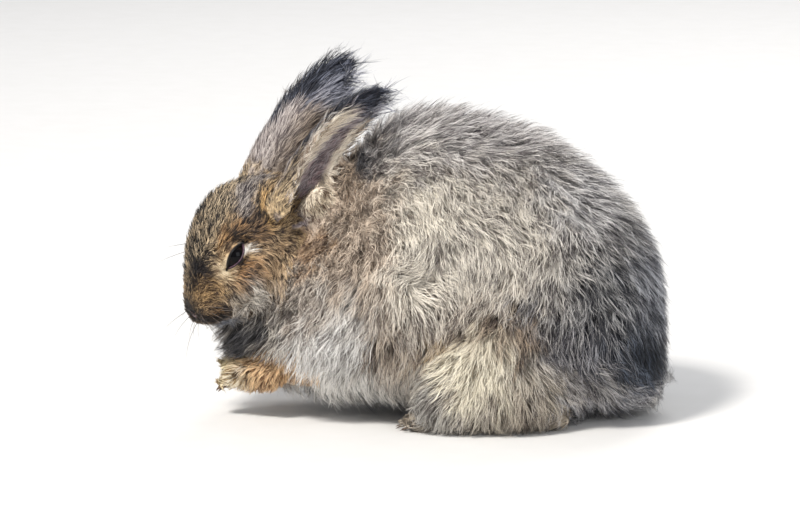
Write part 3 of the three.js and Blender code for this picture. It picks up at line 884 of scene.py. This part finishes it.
def coat_material(name, base_shade, tip_dark, sheen):
    """Banded hair: its shaded base, its own light or dark band, and a dark tip on some, with streaks along
    it and slow changes of warmth from place to place."""
    sheet = Sheet(name)
    share, darkness, tone = (sheet.stored(key) for key in ("share", "darkness", "tone"))
    light, dark, root = (sheet.stored(key, 1) for key in ("light", "dark", "place"))
    patchy = sheet.noise(root, 60.0, 2.0)
    fine = sheet.noise(sheet.place(), 900.0, 2.0)
    strand = sheet.node("ShaderNodeCombineXYZ", {}, [tone * 90.0, share * 2.4, darkness])
    banding = sheet.noise(strand, 1.0, 1.0)
    amount = darkness + (patchy - 0.5) * 0.4 + (fine - 0.5) * 0.2 + (banding - 0.5) * 0.9
    band = sheet.mix(sheet.between(0.12, 0.88, amount), light, dark)
    ticked = sheet.between(0.74, 0.98, share) * sheet.between(0.5, 0.8, tone) * tip_dark
    tipped = sheet.mix(ticked, band, dark * 0.7)
    pale = sheet.between(0.6, 1.0, share) * sheet.between(0.45, 0.2, tone) * 0.5
    bleached = sheet.mix(pale, tipped, light * 1.12)
    colour = sheet.mix((1 - sheet.between(0.0, 0.55, share)) * base_shade, bleached, dark * 0.75)
    rough = sheet.between(0.0, 1.0, fine) * 0.2 + 0.55
    return sheet.finish(colour, rough, Sheen_Weight=sheen, Sheen_Roughness=0.45, Specular_IOR_Level=0.35)


def skin_material():
    """Skin under the coat: the coat's own colours in fine streaks, with bare pink and dark places by
    attribute."""
    sheet = Sheet("skin_with_short_fur")
    place, bare = sheet.place(), sheet.stored("bare")
    streaks = sheet.noise(place, 420.0, 4.0, 0.65)
    patches = sheet.noise(place, 70.0, 2.0)
    amount = sheet.stored("dark_share") + (streaks - 0.5) * 1.2 + (patches - 0.5) * 0.4
    furry = sheet.mix(sheet.between(0.25, 0.75, amount), sheet.stored("light", 1), sheet.stored("dark", 1))
    flesh = sheet.mix(sheet.between(0.3, 0.7, patches), (186, 156, 156), (140, 114, 118))
    colour = sheet.mix(sheet.stored("lid"), sheet.mix(bare, furry, flesh), (20, 15, 17))
    bump = sheet.bump(streaks + sheet.noise(place, 1600.0, 2.0) * 0.4, 0.5, 0.0006)
    return sheet.finish(colour, 0.85 - bare * 0.3, bump, Sheen_Weight=0.2, Specular_IOR_Level=0.3)


def eye_material(centre):
    """A dark brown iris round a black pupil, under a wet surface: rings by the distance from the eye's
    axis."""
    sheet = Sheet("wet_eye")
    place = sheet.place()
    off = sheet.node("ShaderNodeVectorMath", {"operation": "DISTANCE"}, [place, tuple(centre)], output=1)
    fibre = sheet.noise(place, 1500.0)
    iris = sheet.mix(sheet.between(0.3, 0.7, fibre), (24, 15, 13), (12, 8, 8))
    pupil = sheet.mix(sheet.between(0.0048, 0.0040, off), iris, (6, 5, 6))
    colour = sheet.mix(sheet.between(0.0062, 0.0074, off), pupil, (14, 10, 12))
    return sheet.finish(colour, fibre * 0.02 + 0.03, Specular_IOR_Level=0.12)


def rim_material():
    """The wet edge of the lids: near black above, dusky violet pink along the lower lid."""
    sheet = Sheet("lid_edge")
    speckle = sheet.noise(sheet.place(), 900.0)
    pink = sheet.mix(sheet.between(0.35, 0.65, speckle), (100, 74, 86), (66, 50, 60))
    colour = sheet.mix(sheet.between(0.2, 0.9, sheet.stored("lower")), (10, 8, 9), pink)
    bump = sheet.bump(speckle, 0.2, 0.0002)
    return sheet.finish(colour, speckle * 0.1 + 0.4, bump, Specular_IOR_Level=0.25)


def claw_material():
    """Horn: two browns in fine lengthwise streaks."""
    sheet = Sheet("claw_horn")
    streak = sheet.noise(sheet.place() * (120.0, 900.0, 900.0), 1.0)
    colour = sheet.mix(sheet.between(0.3, 0.7, streak), (96, 76, 60), (52, 40, 34))
    return sheet.finish(colour, streak * 0.2 + 0.3, sheet.bump(streak, 0.3, 0.0002))


def whisker_material():
    """Stiff hair: black with paler stretches."""
    sheet = Sheet("whisker_hair")
    tone = sheet.noise(sheet.place(), 60.0)
    colour = sheet.mix(sheet.between(0.45, 0.65, tone), (26, 22, 22), (120, 108, 98))
    return sheet.finish(colour, tone * 0.1 + 0.35)


def floor_material():
    """Matt paper with a faint slow grain."""
    sheet = Sheet("studio_paper")
    grain = sheet.noise(sheet.place(), 40.0)
    return sheet.finish(sheet.mix(grain, (226, 224, 220), (232, 230, 227)), 0.9)


def dress(piece, material, slot):
    """Gives a piece its material, and lets it ride on the one body. The slot is not used."""
    piece.data.materials.clear()
    piece.data.materials.append(material)
    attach(piece, "root")


BODY_HAIR = coat_material("long_wavy_coat", 0.6, 0.6, 0.14)
HAIR = {
    "body_coat": BODY_HAIR,
    "tail_fur": BODY_HAIR,
    "face_fur": coat_material("short_ticked_fur", 0.55, 0.9, 0.1),
    "ear_fur": coat_material("silky_ear_fur", 0.45, 0.4, 0.15),
    "foot_fur": coat_material("paw_fur", 0.4, 0.25, 0.2),
}


# ---------------------------------------------------------------- growing the coat

PATCH = 0.003  # size of one hair's patch on its map
LOWEST_HAIR = 0.3 * MM


CROWDING = 1.2  # tufts, or locks, for each square of the space between them
ALIKE = 0.6  # the share of hairs that have their lock's tone
CHEST_END, RUMP_START = -40, 92  # along X, in millimetres
def sample_roots(wanted, density, rng):
    """Roots spread over the chosen points' triangles: as many as density times the area, at random places.
    Gives the corners of each root's triangle, and a function that reads a value of the skin's points at the
    roots."""
    triangles = hide.triangles[wanted[hide.triangles].all(1)]
    a, b, c = (hide.points[triangles[:, k]] for k in range(3))
    area = np.linalg.norm(np.cross(b - a, c - a), axis=1) / 2 / MM**2
    each = area * density[triangles].mean(1)
    count = int(each.sum())
    corners = triangles[rng.choice(len(triangles), count, p=each / each.sum())]
    u, v = rng.random((2, count))
    turn = u + v > 1
    u, v = np.where(turn, 1 - u, u), np.where(turn, 1 - v, v)
    shares = np.stack([1 - u - v, u, v], 1)

    def read(values):
        return (values[corners] * (shares[..., None] if values.ndim > 1 else shares)).sum(1)

    return corners, read


def guide_paths(roots, normals, ways, length, height, free, rows):
    """Paths of hair, row by row. Each step follows the lie of the hair over the skin while the path rises
    over it, fast at first. `free` mixes in a straight path that leaves the skin's curve."""
    steps = rows - 1
    paths, ups = np.empty((2, len(roots), rows, 3))
    shares = np.linspace(0, 1, rows)
    rise = 1 - (1 - shares) ** 2.0
    for i, (place, way, normal) in enumerate(zip(roots, ways, normals)):
        for k in range(rows):
            if k:
                found, _, face, _ = hide_tree.find_nearest(place + way * (length[i] / steps))
                place, near = np.array(found), hide.triangles[face, 0]
                normal = hide_normals[near]
                way = 0.5 * way + 0.5 * LIE[near]
                way = way - (way @ normal) * normal
                way = way / max(np.linalg.norm(way), 1e-9)
            paths[i, k], ups[i, k] = place + normal * height[i] * rise[k], normal
    straight = (
        roots[:, None]
        + ways[:, None] * (shares[:, None] * length[:, None, None])
        + normals[:, None] * (rise[:, None] * height[:, None, None])
    )
    return paths + (straight - paths) * free[:, None, None], ups


def clear_eyes(line):
    """Draws back the hairs that would lie over an eye's opening, to two fifths of their length each
    time."""
    for _ in range(2):
        for side in SIDES.values():
            centre, axes = eye_frame(side)
            along, up, out = ((in_head(line.reshape(-1, 3)) - centre) @ axes).T
            over = ((opening(along, up) < 1.15) & (out > 0)).reshape(line.shape[:2]).any(1)
            line[over] = line[over, :1] + (line[over] - line[over, :1]) * 0.4


def gather(roots, chance, rng):
    """Picks some of the roots at random, and finds the nearest picked one to each root."""
    picked = np.flatnonzero(rng.random(len(roots)) < np.minimum(chance, 0.7))
    tree = KDTree(len(picked))
    for k, place in enumerate(roots[picked].tolist()):
        tree.insert(place, k)
    tree.balance()
    return picked, np.array([tree.find(place)[1] for place in roots.tolist()])


def grow(name, wanted, density, rows, seed, slot):
    """A coat piece: tufts of thin tapering ribbons. Hairs are rooted at random over the skin and gathered
    in locks. A lock follows the guide of its tuft, closes at its tip and swings in a sine wave along its
    length. A few hairs stand out as strays."""
    rng = np.random.default_rng(seed)
    corners, read = sample_roots(wanted, density, rng)
    roots, normals = read(hide.points), unit(read(hide_normals))
    measure = {key: read(FIELD[key]) for key in FIELDS}
    count = len(roots)
    leaders, nearest = gather(roots, CROWDING / (measure["spacing"] ** 2 * read(density)), rng)
    seeds, lock = gather(roots, CROWDING / (measure["lock"] ** 2 * read(density)), rng)
    tuft = nearest[seeds][lock]

    def by_tuft(draw, *sizes):
        """A random number of each tuft, given to its hairs."""
        return draw(*sizes, len(leaders))[tuft]

    def by_lock(draw, *sizes):
        """A random number of each lock, given to its hairs."""
        return draw(*sizes, len(seeds))[lock]

    def column(values):
        return values[:, None]

    ways = across(read(LIE) + 0.27 * rng.normal(size=(count, 3)), normals)[leaders]
    guides, ups = guide_paths(
        roots[leaders], normals[leaders], ways,
        measure["length"][leaders] * MM * rng.uniform(0.75, 1.2, len(leaders)),
        measure["height"][leaders] * MM * rng.uniform(0.7, 1.25, len(leaders)),
        np.clip(measure["free"][leaders] * rng.uniform(0.3, 1.7, len(leaders)), 0, 1), rows,
    )
    shares = np.linspace(0, 1, rows)
    stray = rng.random(count) < measure["stray"]
    own_length = by_lock(rng.uniform, 0.55, 1.0) ** 0.8 * rng.uniform(0.8, 1.0, count)
    at = column(own_length) * shares * (rows - 1)
    low = np.minimum(at.astype(int), rows - 2)
    part = (at - low)[..., None]
    lower, upper = (column(tuft), low), (column(tuft), low + 1)
    line, up = (path[lower] * (1 - part) + path[upper] * part for path in (guides, ups))
    up = unit(up)
    closing = measure["closing"] * rng.uniform(0.3, 1.3, count) * ~stray
    seat = roots[seeds][lock]
    line += column(seat - guides[tuft, 0]) * (1 - column(closing) * shares**1.2)[..., None]
    bunch = BUNCH * rng.uniform(0.5, 1.25, count) * ~stray
    line += column(roots - seat) * (1 - column(bunch) * shares**1.2)[..., None]
    sideways = unit(np.cross(up, np.gradient(line, axis=1)))
    reach = measure["length"] * own_length * MM
    phase = by_tuft(rng.uniform, 0, 2 * math.pi)
    phase += by_lock(rng.normal, 0, 0.9) + rng.normal(0, 0.25, count)
    turn = 2 * math.pi * column(reach / measure["wave"] / MM) * shares + column(phase)
    swing = column(measure["swing"] * by_lock(rng.uniform, 0.4, 1.5)) * shares**0.8 * MM
    line += sideways * (swing * np.sin(turn))[..., None] + up * (0.35 * swing * np.cos(turn))[..., None]
    drift = by_lock(rng.normal, 0, 1) * measure["loose"] * reach
    drift += rng.normal(0, 1, count) * (0.03 + 0.15 * stray) * reach
    lift = (np.abs(by_lock(rng.normal, 0, 0.06)) + stray * rng.uniform(0.05, 0.32, count)) * reach
    line += sideways * (column(drift) * shares**1.5)[..., None] + up * (column(lift) * shares)[..., None]
    line[:, :, 2] = np.maximum(line[:, :, 2], LOWEST_HAIR)
    if slot == "face_fur":
        clear_eyes(line)
    along = unit(np.gradient(line, axis=1))
    roll = np.clip(rng.normal(0, 0.5, (count, 1, 1)), -1, 1)
    flat = unit(np.cross(up, along))
    edge = flat * np.cos(roll) + np.cross(along, flat) * np.sin(roll)
    taper = np.minimum(0.5 + 1.3 * shares, 1) * (1 - shares**2.0)
    half = column(measure["width"] * rng.uniform(0.6, 1.35, count) * (1 - 0.35 * stray)) * taper * MM / 2
    left, right = line + edge * half[..., None], line - edge * half[..., None]
    body = np.stack([left[:, :-1], right[:, :-1]], 2).reshape(count, -1, 3)
    points = np.concatenate([body, line[:, -1:]], 1)
    per = points.shape[1]
    rung = np.arange(rows - 2)[:, None] * 2
    strip = np.concatenate([rung + [0, 1, 3], rung + [0, 3, 2], [[per - 3, per - 2, per - 1]]])
    faces = (np.arange(count)[:, None, None] * per + strip).reshape(-1, 3)
    piece = mesh_of(name, points.reshape(-1, 3), faces)
    soft = unit(np.cross(along, edge) * (1 - SOFTNESS) + up * SOFTNESS)
    soft = np.concatenate([np.repeat(soft[:, :-1], 2, axis=1), soft[:, -1:]], 1).reshape(-1, 3)
    piece.data.normals_split_custom_set_from_vertices(soft.astype(np.float32))

    share_rows = np.append(np.repeat(shares[:-1], 2), 1.0)
    light, dark, dark_share = markings(roots, owner[corners[:, 0]])
    tuft_tone = by_tuft(rng.normal, 0, 0.12) + 0.15 * ripple(roots, 8 * MM, 90)
    tuft_tone += 0.09 * ripple(roots, 26 * MM, 92)
    alike = rng.random(count) < ALIKE

    def own_or_shared():
        """A random number of each hair: the lock's for hairs that are alike, its own for the others."""
        return np.where(alike, by_lock(rng.random), rng.random(count))

    darkness = ease(-0.13, 0.13, dark_share - np.clip(own_or_shared() * 0.9 + 0.05 + tuft_tone, 0, 1))
    put(piece, "share", np.tile(share_rows, count))
    stored = {"darkness": darkness, "tone": own_or_shared(), "light": light, "dark": dark, "place": roots}
    for key, values in stored.items():
        put(piece, key, np.repeat(values, per, 0))
    put_map(piece, roots, share_rows, per)
    dress(piece, HAIR[slot], slot)


def put_map(piece, roots, share_rows, per):
    """The piece's map: each hair is a small upright patch at its root's place on an unwrap of the skin,
    which is the root's angle round the piece's long axis against its place along it."""
    off = roots - roots.mean(0)
    ways = np.linalg.svd(off, full_matrices=False)[2]
    along, a, b = (off @ way for way in ways)

    def spaced(values):
        """Values from 0 to 1, halfway between their even ranks and their own spread."""
        ranks = np.empty(len(values))
        ranks[np.argsort(values)] = np.arange(len(values)) / len(values)
        even = (values - values.min()) / np.ptp(values)
        return 0.004 + 0.992 * (0.5 * ranks + 0.5 * even)

    place = np.stack([spaced(np.arctan2(b, a)), spaced(along)], 1)
    sides = np.append(np.tile([-0.5, 0.5], (per - 1) // 2), 0.0)
    flat = (place[:, None] + np.stack([sides, share_rows - 0.5], 1) * PATCH).reshape(-1, 2)
    corners = rows_of(piece.data.loops, "vertex_index", 1).ravel()
    layer = piece.data.uv_layers.new(name="OFBake")
    layer.uv.foreach_set("vector", flat[corners].astype(np.float32).ravel())


def region(*kinds):
    """Which points of the skin lie over nodes of the given kinds."""
    return np.isin(KIND, kinds)


def hairy():
    """Roots anywhere but in the eyes' openings."""
    clear = np.ones(len(hide.points), bool)
    for _, along, up, out in round_eyes(in_head(hide.points)):
        clear &= (opening(along, up) > 1.3 + 0.8 * (up > 0)) | (out < 0) | (along**2 + up**2 > 20**2)
    return clear


def grow_coat():
    """All coat pieces, each of its own part of the skin, with the density of hairs to a square millimetre
    and the rows of points in a hair. A piece with halves is grown twice, left and then right."""
    x, y, _ = (hide.points / MM).T
    here = in_head(hide.points)
    body, front, rear = region("trunk", "neck"), x < CHEST_END, x > RUMP_START
    seen = 1 - 0.55 * ease(-0.35, -0.9, hide_normals[:, 2])
    even, left, on_left_ear = np.ones(len(x)), y < 0, owner == NODES.index("ear_left")
    plan = [
        ("coat_chest", body & front, None, 1.22 * seen, 5, "body_coat"),
        ("coat_flank", body & ~front & ~rear, left, 1.16 * seen, 5, "body_coat"),
        ("coat_rump", body & rear, left, 1.22 * seen, 5, "body_coat"),
        ("coat_haunch", region("haunch"), left, 1.3 * seen, 5, "body_coat"),
        ("fur_tail", region("tail"), None, 1.3 * seen, 5, "tail_fur"),
        ("fur_face", HEAD & hairy(), here[:, 1] < 0, 5.6 - 1.4 * ease(-10, 30, here[:, 0]), 4, "face_fur"),
        ("fur_ear", region("ear"), on_left_ear, 1.35 * even, 5, "ear_fur"),
        ("fur_forelegs", region("foreleg"), None, 2.0 * even, 5, "foot_fur"),
        ("fur_hind_feet", region("hind_foot"), None, 1.1 * seen, 4, "foot_fur"),
    ]
    seed = 100
    for name, wanted, half, density, rows, slot in plan:
        halves = {"": wanted} if half is None else {"_left": wanted & half, "_right": wanted & ~half}
        for side, chosen in halves.items():
            grow(name + side, chosen, density, rows, seed, slot)
            seed += 1


# ---------------------------------------------------------------- eyes, lids, claws and whiskers

def tube(roots, ways, lengths, bend, radii, sides, lowest=-np.inf):
    """Round rods: each path is root + way x share + bend x share squared, times its length, and each ring
    is a circle across the path's direction. The ends are closed."""
    share = np.linspace(0, 1, len(radii))
    paths = roots[:, None] + ways[:, None] * (share * lengths[:, None])[..., None]
    paths += np.array(bend) * (share**2 * lengths[:, None])[..., None]
    paths[:, :, 2] = np.maximum(paths[:, :, 2], lowest)
    along = unit(np.gradient(paths, axis=1))
    first = across(np.broadcast_to([0.3, 0.5, 0.81], along.shape), along)
    second = np.cross(along, first)
    angle = np.linspace(0, 2 * math.pi, sides, endpoint=False)
    ring = first[:, :, None] * np.cos(angle)[:, None] + second[:, :, None] * np.sin(angle)[:, None]
    points = paths[:, :, None] + ring * radii[:, None, None]
    faces = grid_faces(len(radii), sides)
    each = len(radii) * sides
    return points.reshape(-1, 3), np.concatenate([faces + k * each for k in range(len(roots))])


# Millimetres: how far the lids' edge stands out from the eyeball, its half widths, and its half height.
RIM_OUT, RIM_UPPER, RIM_LOWER, RIM_HEIGHT = 0.28, 0.7, 0.38, 0.5
# How far whiskers and claws bend, as a share of their length.
WHISKER_BEND, CLAW_BEND = (0.11, 0, -0.132), (0, 0, -0.18)


def make_eyeball(name, side):
    """An eyeball: a sphere by latitude from the front pole, with the clear cornea swelling over its
    middle."""
    rows, columns = 40, 64
    centre, axes = eye_frame(side)
    slopes = np.linspace(0.0005, math.pi - 0.0005, rows)
    turns = np.linspace(0, 2 * math.pi, columns, endpoint=False)
    slope, turn = np.meshgrid(slopes, turns, indexing="ij")
    radius = (EYE_RADIUS - 0.05) * (1 + 0.035 * np.exp(-((slope / 0.55) ** 2)))
    local = [np.sin(slope) * np.cos(turn), np.sin(slope) * np.sin(turn), np.cos(slope)]
    points = centre + (radius[..., None] * np.stack(local, -1)).reshape(-1, 3) @ axes.T
    return closed(name, from_head(points), grid_faces(rows, columns))


def make_lid_rim(name, side):
    """The bare wet edge of both lids: a soft roll along the lens of the opening, laid on the eyeball."""
    centre, axes = eye_frame(side)
    stretch = np.linspace(-1, 1, 40)
    bow = 1 - stretch**2
    upper = np.stack([stretch * OPENING_HALF, bow * OPENING_UP], 1)
    lower = np.stack([stretch[::-1] * OPENING_HALF, -bow * OPENING_DOWN], 1)[1:-1]
    around = np.concatenate([upper, lower])
    out = np.sqrt(np.maximum((EYE_RADIUS + RIM_OUT) ** 2 - (around**2).sum(1), 0))
    line = centre + np.column_stack([around, out]) @ axes.T
    outwards = unit(line - centre)
    sideways = unit(np.cross(unit(np.roll(line, -1, 0) - np.roll(line, 1, 0)), outwards))
    angle = np.linspace(0, 2 * math.pi, 10, endpoint=False)
    is_lower = (np.arange(len(line)) >= len(upper)) * 1.0
    thick = np.where(is_lower, RIM_LOWER, RIM_UPPER)[:, None, None]
    c, s = np.cos(angle)[:, None], np.sin(angle)[:, None]
    ring = sideways[:, None] * c * thick + outwards[:, None] * s * RIM_HEIGHT
    points = (line[:, None] + ring).reshape(-1, 3)
    piece = closed(name, from_head(points), grid_faces(len(line), len(angle), looped=True))
    put(piece, "lower", np.repeat(is_lower, len(angle)))
    return piece


def make_whiskers():
    """Whiskers: rods rooted in rows on the pads, sweeping out, back and down, thinning to nothing."""
    rng = np.random.default_rng(5)
    rods = []
    for side in SIDES.values():
        for row in range(4):
            for place in range(5):
                root = (-37 + 3.4 * place - 0.6 * row, side * (7.5 + 1.7 * place), -13.5 - 3.1 * row)
                way = unit(np.array([-0.55 + 0.42 * place, side * (1.15 - 0.05 * row), -0.05 - 0.18 * row]))
                rods.append((root, unit(way + rng.normal(0, 0.10, 3)), rng.uniform(22, 44)))
        for row in range(2):
            way = unit(np.array([-0.8, side * 0.4, 0.4 + 0.2 * row]))
            rods.append(((-7 + 5 * row, side * 22, 10 + 2 * row), way, 24 - 4 * row))
    radii = 0.17 * (1 - np.linspace(0, 1, 14)) ** 0.8 + 0.015
    points, faces = tube(*map(np.array, zip(*rods)), WHISKER_BEND, radii, 5)
    return closed("whiskers", from_head(points), faces)


TOES = (-9.6, -3.2, 3.2, 9.6)
FOREPAW_TOES = (-6.0, -2.0, 2.0, 6.0)


def make_claws():
    """Claws: short rods bent down from the tips of the toes, thinning to a point."""
    rods = []
    for name, side in SIDES.items():
        low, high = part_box("hind_foot_" + name)
        for toe in TOES:
            root = (low.x + (7 + abs(toe) * 0.45) * MM, (low.y + high.y) / 2 + toe * MM, 4.2 * MM)
            rods.append((root, (-1, 0, -0.15), 8.5 * MM))
        low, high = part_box("foreleg_" + name)
        inner = (low.y if side > 0 else high.y) + 8 * side * MM
        for toe in FOREPAW_TOES:
            root = (low.x + (6 + abs(toe) * 0.3) * MM, inner + toe * 0.9 * MM, low.z + 3.5 * MM)
            rods.append((root, (-1, 0, -0.7), 6.0 * MM))
    roots, ways, lengths = map(np.array, zip(*rods))
    radii = (1.15 * (1 - np.linspace(0, 1, 9) ** 1.6) + 0.08) * MM
    return closed("claws", *tube(roots, unit(ways), lengths, CLAW_BEND, radii, 8, SOLE))


def mark_skin():
    """Stores the markings, with their painted shade, the bare places and the dark lids on the skin."""
    here = in_head(hide.points)
    light, dark, dark_share = markings(hide.points, owner)
    bare, lid = spot(here, (-42, 0, -15.5), (5, 4, 4)) * 0.8, np.zeros(len(here))
    for _, along, up, out in round_eyes(here):
        corner = np.hypot(np.maximum(np.abs(along) - OPENING_HALF, 0) / 3.2, up / 1.1) < 1
        lid = np.maximum(lid, np.maximum(ease(1.3, 0.7, opening(along, up)), corner) * (out > 0))
    for _, own, height, turn, inside in on_ears(hide.points, owner):
        bare = np.maximum(bare, (own & (np.abs(turn) < 0.7) & (height < 0.8)) * inside * 0.6)
    stored = {"light": light, "dark": dark, "dark_share": dark_share, "bare": bare, "lid": lid}
    for name, values in stored.items():
        put(skin, name, values)


grow_coat()
mark_skin()
dress(skin, skin_material(), "skin")
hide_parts(*(node for node in NODES if not node.startswith("eye")))
for name, side in SIDES.items():
    centre, axes = eye_frame(side)
    ball = make_eyeball(f"eyeball_{name}", side)
    dress(ball, eye_material(from_head(centre + axes[:, 2] * EYE_RADIUS)), "eye")
    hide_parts(f"eye_{name}")
for name, side in SIDES.items():
    dress(make_lid_rim(f"lid_rim_{name}", side), rim_material(), "skin")
dress(make_whiskers(), whisker_material(), "whisker")
dress(make_claws(), claw_material(), "claw")


# ---------------------------------------------------------------- floor, light and camera

CAMERA_RISE = math.radians(10)  # above the floor
CAMERA_FAR = 4.0
SENSOR = 36
VIEW_WIDTH = 0.52  # width of the view at the rabbit
VIEW_SIDE = -0.0182  # how far the view's middle lies from the rabbit's middle
VIEW_HEIGHT = 0.0962  # the same, upwards across the view
FLOOR_HALF = 12
SKY_POWER = 0.48


def make_floor():
    """A pale floor: one wide flat sheet."""
    corners = [(x * FLOOR_HALF, y * FLOOR_HALF, 0) for x, y in ((-1, -1), (1, -1), (1, 1), (-1, 1))]
    floor = mesh_of("floor", corners, [(0, 1, 2, 3)])
    floor.data.materials.append(floor_material())


def make_light(name, place, size, power, colour):
    """A square soft lamp that faces the rabbit."""
    lamp = bpy.data.lights.new(name, "AREA")
    lamp.shape, lamp.size, lamp.energy, lamp.color = "SQUARE", size, power, colour
    made = placed(name, lamp)
    made.location = place
    made.rotation_euler = (Vector((0, 0, 0.1)) - Vector(place)).to_track_quat("-Z", "Y").to_euler()


def make_camera():
    """A long lens at the side, a little above the rabbit."""
    lens = bpy.data.cameras.new("camera")
    lens.sensor_width = SENSOR
    lens.lens = SENSOR * CAMERA_FAR / VIEW_WIDTH
    made = placed("camera", lens)
    c, s = math.cos(CAMERA_RISE), math.sin(CAMERA_RISE)
    made.location = np.array([VIEW_SIDE, -c * CAMERA_FAR, s * CAMERA_FAR]) + np.array([0, s, c]) * VIEW_HEIGHT
    made.rotation_euler = (math.pi / 2 - CAMERA_RISE, 0, 0)
    bpy.context.scene.camera = made


make_floor()
make_light("key", (-1.1, -1.5, 2.3), 0.55, 90, (1.0, 0.975, 0.94))
make_light("fill", (1.6, -2.2, 1.2), 1.6, 22, (0.92, 0.96, 1.0))
make_light("back", (0.6, 1.8, 1.8), 1.2, 26, (1.0, 1.0, 1.0))
make_camera()

world = bpy.data.worlds.new("studio")
world.use_nodes = True
world.node_tree.nodes["Background"].inputs[0].default_value = (0.9, 0.93, 1.0, 1)
world.node_tree.nodes["Background"].inputs[1].default_value = SKY_POWER
bpy.context.scene.world = world
bpy.context.scene.view_settings.view_transform = "Standard"
